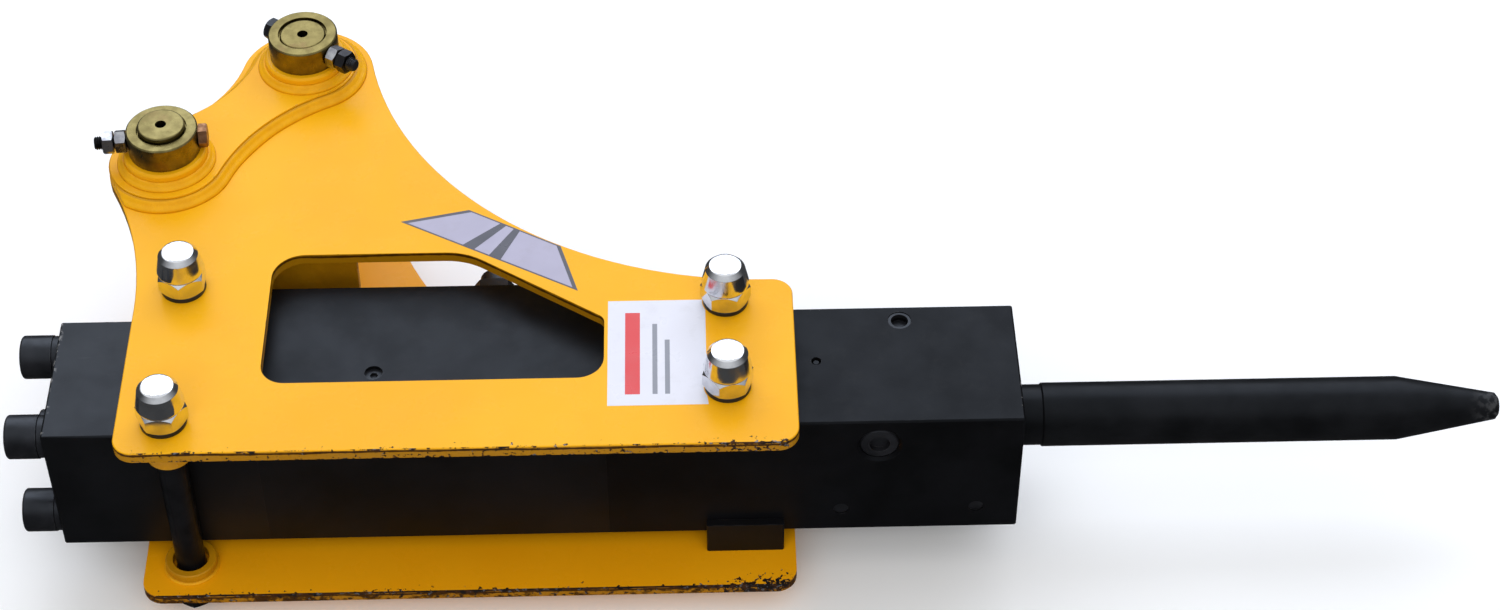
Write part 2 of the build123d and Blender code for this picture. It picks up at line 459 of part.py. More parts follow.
def cylinder():
    """Middle casting with the piston bore and the valve chest, and its flushing plug."""
    half = BODY_HALF
    back = BACK_JOINT - OVERSHOOT
    block = box(BACK_JOINT, FRONT_JOINT, TOOL_Y - half, TOOL_Y + half, -half, half)
    block = chamfer(block.edges().filter_by(Axis.X).group_by(Axis.Y)[0], EDGE_CHAMFER)
    chest = box(BACK_JOINT, CHEST_END, TOOL_Y + half - CHEST_OVERLAP, TOOL_Y + CHEST_FAR, -half, half)
    chest = chamfer(chest.edges().filter_by(Axis.Z).group_by(Axis.Y)[-1], CHEST_BREAK)
    chest = chamfer(chest.faces().sort_by(Axis.Y)[-1].edges().filter_by(Axis.X), EDGE_CHAMFER)
    block = bolt_passages(block + chest, back, FRONT_JOINT + OVERSHOOT, TIE_RADIUS + BOLT_FIT)
    block -= rod_x(back, HOLDER_END, HOLDER_RADIUS)
    block -= rod_x(HOLDER_END - OVERSHOOT, PISTON_CHAMBER_END, PISTON_HEAD + PISTON_FIT)
    block -= rod_x(PISTON_CHAMBER_END - OVERSHOOT, FRONT_JOINT + OVERSHOOT, PISTON_FRONT + PISTON_FIT)
    for x in OIL_SEALS_X + [DUST_SEAL_X]:
        block -= rod_x(x, x + OIL_SEAL_WIDTH, OIL_SEAL_RADIUS)
    block -= rod_x(back, SLEEVE_END, SLEEVE_RADIUS, VALVE_OFFSET)
    for z in (-PORT_Z, PORT_Z):
        block -= rod_y(PORT_X, z, PORT_WAY_START, CHEST_FAR + OVERSHOOT, PORT_BORE)
        block -= Pos(PORT_X, TOOL_Y + VALVE_OFFSET, z / 2) * Cylinder(PORT_WAY, PORT_Z)
    for x in OIL_WAYS_X:
        block -= rod_y(x, 0, OIL_WAY_START, VALVE_OFFSET, OIL_WAY)
    block -= rod_z(PLUG_X, TOOL_Y, half - PLUG_DEPTH, half + OVERSHOOT, PLUG_RADIUS)
    for y, z in COVER_SCREWS:
        block -= rod_x(back, BACK_JOINT + SCREW_HOLE, SCREW_RADIUS, y, z)
    save("cylinder", block)

    plug = rod_z(PLUG_X, TOOL_Y, half - PLUG_DEPTH, half - PLUG_SUNK, PLUG_RADIUS)
    socket_foot = half - PLUG_DEPTH + PLUG_SOCKET_FOOT
    save("flushing_plug", plug - Pos(PLUG_X, TOOL_Y, socket_foot) * hex_socket(PLUG_SOCKET, PLUG_DEPTH))


def front_head():
    """Front casting that holds the chisel's bushes and their pins, and its grease nipple."""
    half = BODY_HALF
    front = box(FRONT_JOINT, BODY_FRONT, TOOL_Y - half, TOOL_Y + half, -half, half)
    rims = front.edges().filter_by(Axis.X) + front.faces().sort_by(Axis.X)[-1].edges()
    front = bolt_passages(chamfer(rims, EDGE_CHAMFER), FRONT_JOINT - OVERSHOOT, TIE_HOLE_END, TIE_RADIUS)
    for x, y in FRONT_BOLTS:
        front -= rod_z(x, y, -THROUGH, THROUGH, SIDE_BOLT_RADIUS + BOLT_FIT)
    front -= rod_x(FRONT_JOINT - OVERSHOOT, STRIKE_END, STRIKE_RADIUS)
    front -= rod_x(THRUST_START, BODY_FRONT + OVERSHOOT, BUSH_RADIUS)
    front -= rod_y(RETAINER_X, RETAINER_Z, -half - OVERSHOOT, half + OVERSHOOT, RETAINER_RADIUS)
    mouth = Cone(RETAINER_RADIUS + RETAINER_MOUTH, RETAINER_RADIUS, RETAINER_MOUTH,
                 align=(Align.CENTER, Align.CENTER, Align.MIN))
    for side in (-1, 1):
        front -= Pos(RETAINER_X, TOOL_Y + side * half, RETAINER_Z) * Rot(side * 90, 0, 0) * mouth
    stop_y = TOOL_Y + STOP_OFFSET
    front -= rod_z(STOP_X, stop_y, STOP_FOOT, half + OVERSHOOT, STOP_RADIUS)
    front -= rod_z(STOP_X, stop_y, half - STOP_RING_DEPTH, half + OVERSHOOT, STOP_RING_RADIUS)
    for x in BUSH_PINS_X:
        front -= rod_y(x, BUSH_PIN_Z, -half - OVERSHOOT, half - BUSH_PIN_STOP, BUSH_PIN_RADIUS)
    grease_y = TOOL_Y + GREASE_OFFSET
    front -= rod_z(GREASE_X, grease_y, BUSH_RADIUS / 2, half + OVERSHOOT, GREASE_WAY)
    front -= rod_z(GREASE_X, grease_y, half - GREASE_DEPTH, half + OVERSHOOT, GREASE_RECESS)
    save("front_head", front)
    save("grease_nipple", turned_z(GREASE_PROFILE, GREASE_X, grease_y, half - GREASE_DEPTH))


def clamping_bolts():
    """Tie bolts with socket heads, each on a thick hardened washer."""
    bolts = []
    washers = []
    washer_end = BODY_BACK - TIE_WASHER
    head_end = washer_end - TIE_HEAD
    for y, z in TIE_BOLTS:
        head = rod_x(head_end, washer_end, TIE_HEAD_RADIUS, y, z)
        head = fillet(head.faces().sort_by(Axis.X)[0].edges(), TIE_HEAD_ROUND)
        socket = hex_socket(TIE_SOCKET, TIE_SOCKET_DEPTH)
        socket = Pos(head_end, TOOL_Y + y, z) * Rot(0, 90, 0) * socket
        bolts.append(head - socket + rod_x(washer_end, TIE_END, TIE_RADIUS, y, z))
        washer = ring_x(washer_end, BODY_BACK, TIE_WASHER_RADIUS, TIE_RADIUS + BOLT_FIT, y, z)
        faces = washer.faces().sort_by(Axis.X)
        rims = faces[0].outer_wire().edges() + faces[-1].outer_wire().edges()
        washers.append(fillet(rims, TIE_WASHER_ROUND))
    save("tie_bolts", *bolts)
    save("tie_bolt_washers", *washers)


# --- inner works --------------------------------------------------------------------
def piston_and_seals():
    """Piston, the seals it runs in and the retainer that holds the rear ones."""
    piston = turned([
        (PISTON_BACK, 0), (PISTON_BACK, PISTON_REAR - PISTON_BREAK),
        (PISTON_BACK + PISTON_BREAK, PISTON_REAR),
        (PISTON_HEAD_START, PISTON_REAR), (PISTON_HEAD_START, PISTON_HEAD),
        (PISTON_WAIST_START, PISTON_HEAD), (PISTON_WAIST_START, PISTON_WAIST),
        (PISTON_WAIST_END, PISTON_WAIST), (PISTON_WAIST_END, PISTON_HEAD),
        (PISTON_HEAD_END, PISTON_HEAD), (PISTON_HEAD_END, PISTON_FRONT),
        (PISTON_NOSE_START, PISTON_FRONT), (PISTON_NOSE_START + PISTON_BREAK, PISTON_NOSE),
        (PISTON_TIP - PISTON_BREAK, PISTON_NOSE), (PISTON_TIP, PISTON_NOSE - PISTON_BREAK),
        (PISTON_TIP, 0),
    ])
    save("piston", piston)

    holder = ring_x(BACK_JOINT, HOLDER_END, HOLDER_RADIUS, PISTON_REAR + PISTON_FIT)
    for x in GAS_SEALS_X:
        holder -= ring_x(x, x + GAS_SEAL_WIDTH, GAS_SEAL_RADIUS, PISTON_REAR - OVERSHOOT)
    holder -= ring_x(-O_RING_HALF, O_RING_HALF, HOLDER_RADIUS + OVERSHOOT, O_RING_INNER)
    save("seal_retainer", holder)
    save("retainer_o_ring", ring_x(-O_RING_HALF, O_RING_HALF, HOLDER_RADIUS, O_RING_INNER))
    inner = PISTON_REAR + SEAL_FIT
    save("gas_seals", *[ring_x(x, x + GAS_SEAL_WIDTH, GAS_SEAL_RADIUS, inner) for x in GAS_SEALS_X])
    inner = PISTON_FRONT + SEAL_FIT
    save("oil_seals", *[ring_x(x, x + OIL_SEAL_WIDTH, OIL_SEAL_RADIUS, inner) for x in OIL_SEALS_X])
    save("piston_dust_seal", ring_x(DUST_SEAL_X, DUST_SEAL_X + OIL_SEAL_WIDTH, OIL_SEAL_RADIUS, inner))


def valve():
    """Spool in its sleeve, closed in by a bolted cover at the back of the chest."""
    sleeve = ring_x(BACK_JOINT, SLEEVE_END, SLEEVE_RADIUS, SPOOL_RADIUS + PISTON_FIT, VALVE_OFFSET)
    reach = SLEEVE_RADIUS + OVERSHOOT
    for x in OIL_WAYS_X:
        sleeve -= ring_x(x - SLEEVE_GROOVE_HALF, x + SLEEVE_GROOVE_HALF, reach,
                         SLEEVE_RADIUS - SLEEVE_GROOVE_DEPTH, VALVE_OFFSET)
        sleeve -= rod_y(x, 0, VALVE_OFFSET - reach, VALVE_OFFSET + reach, SLEEVE_HOLE)
    save("valve_sleeve", sleeve)
    spool = rod_x(SPOOL_LEFT, SPOOL_RIGHT, SPOOL_RADIUS, VALVE_OFFSET)
    for x in SPOOL_GROOVES_X:
        spool -= ring_x(x, x + SPOOL_GROOVE_WIDTH, SPOOL_RADIUS + OVERSHOOT,
                        SPOOL_RADIUS - SPOOL_GROOVE_DEPTH, VALVE_OFFSET)
    save("valve_spool", spool)

    cover_back = BACK_JOINT - COVER_THICKNESS
    head_back = cover_back - SCREW_HEAD
    cover = box(cover_back, BACK_JOINT, TOOL_Y + BODY_HALF + COVER_GAP, TOOL_Y + CHEST_FAR - OVERSHOOT,
                -COVER_HALF, COVER_HALF)
    cover = break_edge(cover, Axis.X, EDGE_CHAMFER, end=0)
    screws = []
    for y, z in COVER_SCREWS:
        cover -= rod_x(cover_back - OVERSHOOT, BACK_JOINT + OVERSHOOT, SCREW_RADIUS + BOLT_FIT, y, z)
        head = rod_x(head_back, cover_back, SCREW_HEAD_RADIUS, y, z)
        socket = hex_socket(SCREW_SOCKET, SCREW_SOCKET_DEPTH)
        head -= Pos(head_back, TOOL_Y + y, z) * Rot(0, 90, 0) * socket
        screws.append(head + rod_x(cover_back, BACK_JOINT + SCREW_LENGTH, SCREW_RADIUS, y, z))
    save("valve_cover", cover)
    save("valve_cover_screws", *screws)


def tool_guides():
    """Bushes around the chisel, the pins that lock them and the pin that keeps the chisel in."""
    half = BODY_HALF
    bore = SHANK_RADIUS + TOOL_CLEARANCE
    spigot_bore = SPIGOT_RADIUS + TOOL_CLEARANCE
    lock_pins = [rod_y(x, BUSH_PIN_Z, BUSH_PIN_SUNK - half, half - BUSH_PIN_STOP, BUSH_PIN_RADIUS)
                 for x in BUSH_PINS_X]
    thrust = turned([
        (THRUST_START, spigot_bore), (THRUST_STEP, spigot_bore), (THRUST_CONE, bore), (THRUST_END, bore),
        (THRUST_END, BUSH_RADIUS), (THRUST_START, BUSH_RADIUS),
    ])
    thrust -= rod_z(GREASE_X, TOOL_Y + GREASE_OFFSET, 0, half, GREASE_WAY)
    save("thrust_bush", thrust - lock_pins[0])
    bush_end = BODY_FRONT - FRONT_BUSH_SUNK
    front = turned([
        (FRONT_BUSH_START, bore), (DUST_LIP_START, bore), (DUST_LIP_START, DUST_LIP_RADIUS),
        (bush_end, DUST_LIP_RADIUS), (bush_end, BUSH_RADIUS), (FRONT_BUSH_START, BUSH_RADIUS),
    ])
    save("front_bush", front - lock_pins[1])
    save("tool_dust_seal", ring_x(DUST_LIP_START, bush_end, DUST_LIP_RADIUS, bore + SEAL_FIT))
    save("bush_lock_pins", *lock_pins)

    stop_y = TOOL_Y + STOP_OFFSET
    pin_end = half - RETAINER_SUNK
    retainer = rod_y(RETAINER_X, RETAINER_Z, -pin_end, pin_end, RETAINER_RADIUS)
    retainer = chamfer(retainer.faces().filter_by(GeomType.PLANE).edges(), EDGE_CHAMFER)
    eye_foot = pin_end - RETAINER_EYE_DEPTH
    retainer -= rod_y(RETAINER_X, RETAINER_Z, eye_foot, half, RETAINER_EYE)
    retainer -= rod_y(RETAINER_X, RETAINER_Z, -half, -eye_foot, RETAINER_EYE)
    retainer -= rod_z(STOP_X, stop_y, STOP_FOOT, half, STOP_RADIUS)
    save("tool_retaining_pin", retainer)
    save("stop_pin", rod_z(STOP_X, stop_y, STOP_FOOT, half - STOP_SUNK, STOP_RADIUS))
    ring_foot = half - STOP_RING_DEPTH
    ring_top = half - STOP_RING_SUNK
    save("stop_pin_ring", ring_z(STOP_X, stop_y, ring_foot, ring_top, STOP_RING_RADIUS, STOP_RADIUS))


def port_adapters():
    """Hose adapters on the far face of the valve chest, each over a sealing washer."""
    adapters = []
    washers = []
    seal_end = CHEST_FAR + PORT_SEAL
    hex_end = seal_end + PORT_HEX
    for z in (-PORT_Z, PORT_Z):
        hexagon = Pos(PORT_X, TOOL_Y + seal_end, z) * Rot(-90, 0, 0) * hex_prism(PORT_FLATS, PORT_HEX)
        nipple = rod_y(PORT_X, z, hex_end - OVERSHOOT, hex_end + NIPPLE_LENGTH, NIPPLE_RADIUS)
        nipple = break_edge(nipple, Axis.Y, NIPPLE_BREAK)
        stem = rod_y(PORT_X, z, CHEST_FAR - PORT_STEM, seal_end + OVERSHOOT, PORT_BORE)
        adapters.append(hexagon + nipple + stem - rod_y(PORT_X, z, PORT_WAY_START, THROUGH, PORT_WAY))
        washer = rod_y(PORT_X, z, CHEST_FAR, seal_end, PORT_SEAL_RADIUS)
        washers.append(washer - rod_y(PORT_X, z, PORT_WAY_START, THROUGH, PORT_BORE))
    save("port_adapters", *adapters)
    save("port_seals", *washers)


def chisel():
    """Round moil-point tool with a shoulder and a flat for the retaining pin."""
    tool = turned([
        (CHISEL_BACK, 0), (CHISEL_BACK, SPIGOT_RADIUS - CHISEL_BREAK),
        (CHISEL_BACK + CHISEL_BREAK, SPIGOT_RADIUS), (SPIGOT_END, SPIGOT_RADIUS),
        (SPIGOT_END + CHISEL_BREAK, SHANK_RADIUS), (CHISEL_SHOULDER - SHOULDER_BREAK, SHANK_RADIUS),
        (CHISEL_SHOULDER, CHISEL_RADIUS), (CONE_START, CHISEL_RADIUS),
        (CHISEL_TIP - TIP_BREAK, TIP_RADIUS + TIP_SWELL), (CHISEL_TIP, TIP_RADIUS - TIP_BREAK),
        (CHISEL_TIP, 0),
    ])
    flat_z = RETAINER_Z - RETAINER_RADIUS - TOOL_CLEARANCE
    flat = box(FLAT_START, FLAT_END, TOOL_Y - FLAT_SIDE, TOOL_Y + FLAT_SIDE, flat_z, FLAT_SIDE)
    save("chisel", tool - flat)


plates()
bosses()
bolt_rings()
side_bolts()
saddles()
pin_set("link", LINK_PIN, LINK_PIN_PROUD, LINK_LOCK_ANGLE)
pin_set("arm", ARM_PIN, ARM_PIN_PROUD, ARM_LOCK_ANGLE)
back_head()
cylinder()
front_head()
clamping_bolts()
piston_and_seals()
valve()
tool_guides()
port_adapters()
chisel()
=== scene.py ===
import json
import math
import random

import bmesh
import bpy
from mathutils import Matrix, Vector


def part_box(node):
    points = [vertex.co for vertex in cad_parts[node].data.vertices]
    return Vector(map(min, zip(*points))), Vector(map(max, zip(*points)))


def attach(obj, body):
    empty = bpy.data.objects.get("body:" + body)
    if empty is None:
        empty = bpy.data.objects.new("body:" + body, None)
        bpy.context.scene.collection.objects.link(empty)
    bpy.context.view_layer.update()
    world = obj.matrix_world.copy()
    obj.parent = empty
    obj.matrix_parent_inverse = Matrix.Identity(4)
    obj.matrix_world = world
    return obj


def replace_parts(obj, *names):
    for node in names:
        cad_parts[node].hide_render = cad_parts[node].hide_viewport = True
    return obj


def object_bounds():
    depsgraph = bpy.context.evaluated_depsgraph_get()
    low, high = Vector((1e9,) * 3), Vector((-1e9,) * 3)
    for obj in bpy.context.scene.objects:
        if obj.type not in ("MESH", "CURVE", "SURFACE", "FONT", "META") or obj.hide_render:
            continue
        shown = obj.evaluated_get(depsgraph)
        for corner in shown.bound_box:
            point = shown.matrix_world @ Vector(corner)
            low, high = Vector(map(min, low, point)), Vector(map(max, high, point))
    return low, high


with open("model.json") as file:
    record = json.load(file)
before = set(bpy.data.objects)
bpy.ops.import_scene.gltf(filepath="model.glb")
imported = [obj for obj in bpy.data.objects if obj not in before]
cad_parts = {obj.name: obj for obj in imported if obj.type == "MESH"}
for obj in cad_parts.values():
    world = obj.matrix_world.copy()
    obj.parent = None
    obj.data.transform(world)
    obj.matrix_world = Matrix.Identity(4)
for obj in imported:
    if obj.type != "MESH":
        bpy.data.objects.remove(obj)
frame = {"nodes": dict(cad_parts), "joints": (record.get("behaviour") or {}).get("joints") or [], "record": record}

MM = 0.001
CAD_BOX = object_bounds()
CAD = frame["nodes"]

# places worked out from the frame
PLATE_LOW, PLATE_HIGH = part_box("side_plate_upper")
LOWER_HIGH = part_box("side_plate_lower")[1]
PLATE_THICKNESS = PLATE_HIGH.z - PLATE_LOW.z
FLOOR_Z = CAD_BOX[0].z


def hinge_centre(name):
    """Place of the named joint, in metres."""
    joint = next(j for j in frame["joints"] if j["name"] == name)
    return Vector(joint["pos_m"])


ARM = hinge_centre("arm_pin_spin")
LINK = hinge_centre("link_pin_spin")


# --- node trees ---------------------------------------------------------------------
class Graph:
    """A material's node tree, written as plain calls. Lengths are metres in the object's own frame."""

    def __init__(self, name):
        self.material = bpy.data.materials.new(name)
        self.material.use_nodes = True
        self.tree = self.material.node_tree
        self.tree.nodes.clear()
        self.place = self.add("ShaderNodeTexCoord").outputs["Object"]
        self.normal = self.add("ShaderNodeNewGeometry").outputs["Normal"]

    def add(self, kind, **settings):
        """A new node with the given properties."""
        node = self.tree.nodes.new(kind)
        for key, value in settings.items():
            setattr(node, key, value)
        return node

    def feed(self, socket, value):
        """Link the socket to another one, or set its value."""
        if isinstance(value, bpy.types.NodeSocket):
            self.tree.links.new(value, socket)
        elif value is not None:
            socket.default_value = value

    def calc(self, operation, first, second=None):
        """One step of arithmetic on numbers or sockets."""
        node = self.add("ShaderNodeMath", operation=operation)
        self.feed(node.inputs[0], first)
        self.feed(node.inputs[1], second)
        return node.outputs[0]

    def times(self, *factors):
        """Product of two or more numbers or sockets."""
        product = factors[0]
        for factor in factors[1:]:
            product = self.calc("MULTIPLY", product, factor)
        return product

    def vector(self, operation, first, second):
        """One step of vector arithmetic."""
        node = self.add("ShaderNodeVectorMath", operation=operation)
        self.feed(node.inputs[0], first)
        self.feed(node.inputs[1], second)
        return node.outputs["Value"] if operation == "DOT_PRODUCT" else node.outputs["Vector"]

    def stretched(self, scale):
        """The place, scaled by its own factor along each axis."""
        return self.vector("MULTIPLY", self.place, scale)

    def axes(self, source=None):
        """X, Y and Z of a vector, or of the place."""
        node = self.add("ShaderNodeSeparateXYZ")
        self.feed(node.inputs[0], source or self.place)
        return node.outputs

    def distance_from(self, centre):
        """Distance from the line along Z through centre."""
        x, y, _ = self.axes(self.vector("SUBTRACT", self.place, tuple(centre)))
        return self.calc("SQRT", self.calc("ADD", self.times(x, x), self.times(y, y)))

    def noise(self, scale, detail=3.0, roughness=0.55, place=None):
        """Cloudy noise, 0 to 1, scale per metre."""
        node = self.add("ShaderNodeTexNoise")
        self.feed(node.inputs["Vector"], place or self.place)
        for key, value in (("Scale", scale), ("Detail", detail), ("Roughness", roughness)):
            self.feed(node.inputs[key], value)
        return node.outputs["Fac"]

    def span(self, value, low, high, to_low=0.0, to_high=1.0):
        """value from low..high mapped smoothly to to_low..to_high."""
        node = self.add("ShaderNodeMapRange", interpolation_type="SMOOTHSTEP")
        for socket, number in zip(node.inputs, (value, low, high, to_low, to_high)):
            self.feed(socket, number)
        return node.outputs[0]

    def blend(self, amount, first, second):
        """Colour from first to second as amount goes from 0 to 1."""
        node = self.add("ShaderNodeMix", data_type="RGBA")
        first_colour, second_colour = node.inputs[6], node.inputs[7]
        self.feed(node.inputs["Factor"], amount)
        self.feed(first_colour, first)
        self.feed(second_colour, second)
        return node.outputs[2]

    def bump(self, height, strength, distance, after=None):
        """Normal bent by a height from 0 to 1, on top of the normal given in after."""
        node = self.add("ShaderNodeBump")
        for key, value in (("Strength", strength), ("Distance", distance), ("Height", height),
                           ("Normal", after)):
            self.feed(node.inputs[key], value)
        return node.outputs["Normal"]

    def edges(self, radius, low=0.015, high=0.16):
        """1 at the object's edges, 0 on open faces."""
        node = self.add("ShaderNodeBevel", samples=4)
        node.inputs["Radius"].default_value = radius
        facing = self.vector("DOT_PRODUCT", node.outputs["Normal"], self.normal)
        return self.span(self.calc("SUBTRACT", 1.0, facing), low, high)

    def shader(self, colour, roughness, metallic=0.0, normal=None, specular=0.5, tint=(1.0, 1.0, 1.0)):
        """Close the tree with a surface shader and hand over the material."""
        node = self.add("ShaderNodeBsdfPrincipled")
        for key, value in (("Base Color", colour), ("Roughness", roughness), ("Metallic", metallic),
                           ("Normal", normal), ("Specular IOR Level", specular),
                           ("Specular Tint", rgb(*tint))):
            self.feed(node.inputs[key], value)
        output = self.add("ShaderNodeOutputMaterial")
        self.tree.links.new(node.outputs[0], output.inputs["Surface"])
        return self.material


def rgb(red, green, blue):
    """Opaque colour."""
    return (red, green, blue, 1.0)


def grey(level, blueness=1.0):
    """Neutral colour, its blue multiplied by blueness."""
    return rgb(level, level, level * blueness)


# --- materials ----------------------------------------------------------------------
YELLOW_LIGHT = rgb(0.88, 0.430, 0.006)
YELLOW_DEEP = rgb(0.85, 0.395, 0.004)
YELLOW_THICK = rgb(0.80, 0.37, 0.005)
# deeper orange painted shade for the lower plate
YELLOW_PAINTED_SHADE = rgb(0.90, 0.29, 0.0)
# dark brown painted shade for the plates' side walls
WALL_PAINTED_SHADE = rgb(0.14, 0.048, 0.001)
CUT_LINE = rgb(0.030, 0.008, 0.001)
# dark brown painted shade for the space between the side plates
SHADE_BETWEEN_PLATES = rgb(0.16, 0.055, 0.003)
YELLOW_SPECULAR = 0.18
COOL_TINT = (0.78, 0.87, 1.0)
NOISE_LOW, NOISE_HIGH = 0.3, 0.7  # nearly all values of a noise lie between these


def plate_depth(g):
    """How far the place lies below its side plate's top face, and 1 on the lower plate or 0 on the upper."""
    z = g.axes()[2]
    lower = g.span(z, 0.01, -0.01)
    top = g.calc("ADD", g.times(lower, LOWER_HIGH.z - PLATE_HIGH.z), PLATE_HIGH.z)
    return g.calc("SUBTRACT", top, z), lower


def plate_wear(g, edge):
    """Bare and rusty patches on the near and right rims of the side plates, heavier on the lower plate."""
    x, y, _ = g.axes()
    near = g.calc("SUBTRACT", y, PLATE_LOW.y)
    right = g.calc("SUBTRACT", PLATE_HIGH.x, x)
    depth, lower = plate_depth(g)
    corner = g.span(right, 95 * MM, 25 * MM)
    rim_place = g.stretched((1.0, 0.2, 0.2))

    reach = g.span(g.noise(95.0, 5.0, 0.68, rim_place), 0.46, 0.76, -0.4 * MM, 3.4 * MM)
    reach = g.calc("ADD", reach, g.times(g.calc("ADD", corner, lower), 1.6 * MM))
    line = g.span(g.calc("SUBTRACT", reach, depth), -0.25 * MM, 0.25 * MM)
    foot = g.calc("SUBTRACT", depth, PLATE_THICKNESS)
    foot_reach = g.span(g.noise(120.0, 4.0, 0.65, rim_place), 0.45, 0.75, -0.2 * MM, 2.6 * MM)
    foot_line = g.span(g.calc("ADD", foot_reach, foot), -0.25 * MM, 0.25 * MM)
    on_side = g.times(g.span(near, 1.1 * MM, 0.7 * MM), g.calc("MAXIMUM", line, foot_line))

    face_reach = g.times(g.calc("ADD", 0.25, corner), g.span(lower, 0, 1, 3.5 * MM, 9 * MM))
    flakes = g.noise(230.0, 4.0, 0.6)
    face_depth = g.calc("ADD", near, g.times(g.calc("SUBTRACT", 0.62, flakes), 60 * MM))
    on_face = g.span(g.calc("SUBTRACT", face_reach, face_depth), -0.3 * MM, 0.3 * MM)
    everywhere = g.times(edge, g.span(g.noise(150.0, 4.0, 0.62), 0.60, 0.64), 0.8)
    return g.calc("MAXIMUM", g.calc("MAXIMUM", on_side, on_face), everywhere)


def cut_edges(g):
    """Masks of the side plates' cut walls: the whole wall, which carries painted shade, and its dark line and
    scars.
    """
    depth, lower = plate_depth(g)
    steep = g.span(g.calc("ABSOLUTE", g.axes(g.normal)[2]), 0.75, 0.5)
    below_top = g.span(depth, -0.3 * MM, 0.3 * MM)
    above_foot = g.span(depth, PLATE_THICKNESS + 0.4 * MM, PLATE_THICKNESS + 0.1 * MM)
    wall = g.times(steep, g.times(below_top, above_foot))
    middle = g.span(g.noise(14.0, 2.0), NOISE_LOW, NOISE_HIGH, 1.9 * MM, 3.2 * MM)
    half_width = g.span(g.noise(110.0, 4.0, 0.6), NOISE_LOW, NOISE_HIGH, 0.8 * MM, 1.5 * MM)
    offset = g.calc("ABSOLUTE", g.calc("SUBTRACT", depth, middle))
    line = g.span(g.calc("SUBTRACT", half_width, offset), -0.3 * MM, 0.3 * MM)
    scars = g.span(g.noise(75.0, 6.0, 0.7, g.stretched((1.0, 0.4, 1.6))), 0.46, 0.58)
    scars = g.times(scars, g.times(lower, g.span(depth, 1.0 * MM, 3.0 * MM)))
    return wall, g.times(wall, g.calc("MAXIMUM", line, scars))


def add_painted_shade(g, colour):
    """Painted shade: darken the colour between the side plates, where shade falls, by a varying amount."""
    height = g.calc("ABSOLUTE", g.axes()[2])
    sheltered = g.span(height, PLATE_LOW.z - 0.2 * MM, PLATE_LOW.z - 3.0 * MM)
    amount = g.times(sheltered, g.span(g.noise(26.0, 4.0), NOISE_LOW, NOISE_HIGH, 0.45, 0.65))
    return g.blend(amount, colour, SHADE_BETWEEN_PLATES)


def yellow_paint():
    """Gloss enamel: orange peel, faint tone drift, chips to primer and bare steel along the rims, and painted
    shade on the side walls, on the lower plate and between the plates.
    """
    g = Graph("yellow_enamel")
    colour = g.blend(g.span(g.noise(7.0, 3.0), 0.35, 0.7), YELLOW_LIGHT, YELLOW_DEEP)
    specks = g.span(g.noise(900.0, 2.0), 0.70, 0.76)
    colour = g.blend(g.times(specks, 0.2), colour, rgb(0.50, 0.22, 0.01))
    edge = g.edges(1.2 * MM)
    rim = g.times(edge, g.span(g.noise(60.0, 3.0), 0.35, 0.65, 0.03, 0.16))
    colour = g.blend(rim, colour, rgb(0.30, 0.12, 0.005))
    # painted shade: the whole lower plate is blended a little towards deeper orange
    under = g.span(g.axes()[2], 2.0 * MM - PLATE_LOW.z, 0.2 * MM - PLATE_LOW.z)
    colour = g.blend(g.times(under, 0.30), colour, YELLOW_PAINTED_SHADE)
    wall, line = cut_edges(g)
    # painted shade: the plates' whole side walls are blended towards dark brown
    colour = g.blend(g.times(wall, 0.68), colour, WALL_PAINTED_SHADE)
    colour = g.blend(g.times(line, 0.92), colour, CUT_LINE)
    # painted shade between the side plates
    colour = add_painted_shade(g, colour)

    chips = plate_wear(g, edge)
    rust = g.span(g.noise(130.0, 4.0, 0.6), 0.45, 0.60)
    colour = g.blend(chips, colour, g.blend(rust, rgb(0.012, 0.009, 0.008), rgb(0.055, 0.020, 0.006)))
    steel = g.times(chips, g.span(g.noise(210.0, 3.0, 0.6), 0.58, 0.64))
    colour = g.blend(g.times(steel, 0.8), colour, rgb(0.26, 0.27, 0.30))

    roughness = g.span(g.noise(40.0, 3.0), NOISE_LOW, NOISE_HIGH, 0.24, 0.36)
    roughness = g.calc("ADD", roughness, g.times(chips, 0.25))
    peel = g.bump(g.noise(330.0, 2.0, 0.5), 0.10, 0.25 * MM)
    dents = g.bump(g.calc("SUBTRACT", 1.0, chips), 0.5, 0.15 * MM, peel)
    return g.shader(colour, roughness, g.times(steel, 0.7), dents, YELLOW_SPECULAR)


def weld_paint():
    """The same enamel over weld beads, thicker in the ripples, with a dark line along their upper edge that is
    partly dirt and partly painted shade, and painted shade between the side plates.
    """
    g = Graph("yellow_weld_enamel")
    tone = g.span(g.noise(90.0, 4.0), NOISE_LOW, NOISE_HIGH)
    colour = g.blend(tone, YELLOW_LIGHT, YELLOW_THICK)
    pits = g.span(g.noise(500.0, 3.0), 0.68, 0.76)
    colour = g.blend(g.times(pits, 0.3), colour, rgb(0.35, 0.14, 0.01))
    toe = g.calc("SUBTRACT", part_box("doubler_upper")[1].z, g.axes()[2])
    # dark line along the upper doubler's bead edge: partly dirt, partly painted shade of the undercut
    seam = g.times(g.span(toe, 2.6 * MM, 1.6 * MM), g.span(toe, -0.2 * MM, 0.2 * MM))
    colour = g.blend(g.times(seam, 0.5), colour, rgb(0.30, 0.115, 0.004))
    # painted shade between the side plates
    colour = add_painted_shade(g, colour)
    lumps = g.bump(g.noise(420.0, 3.0), 0.18, 0.25 * MM)
    return g.shader(colour, g.span(tone, 0.0, 1.0, 0.26, 0.40), 0.0, lumps, YELLOW_SPECULAR)


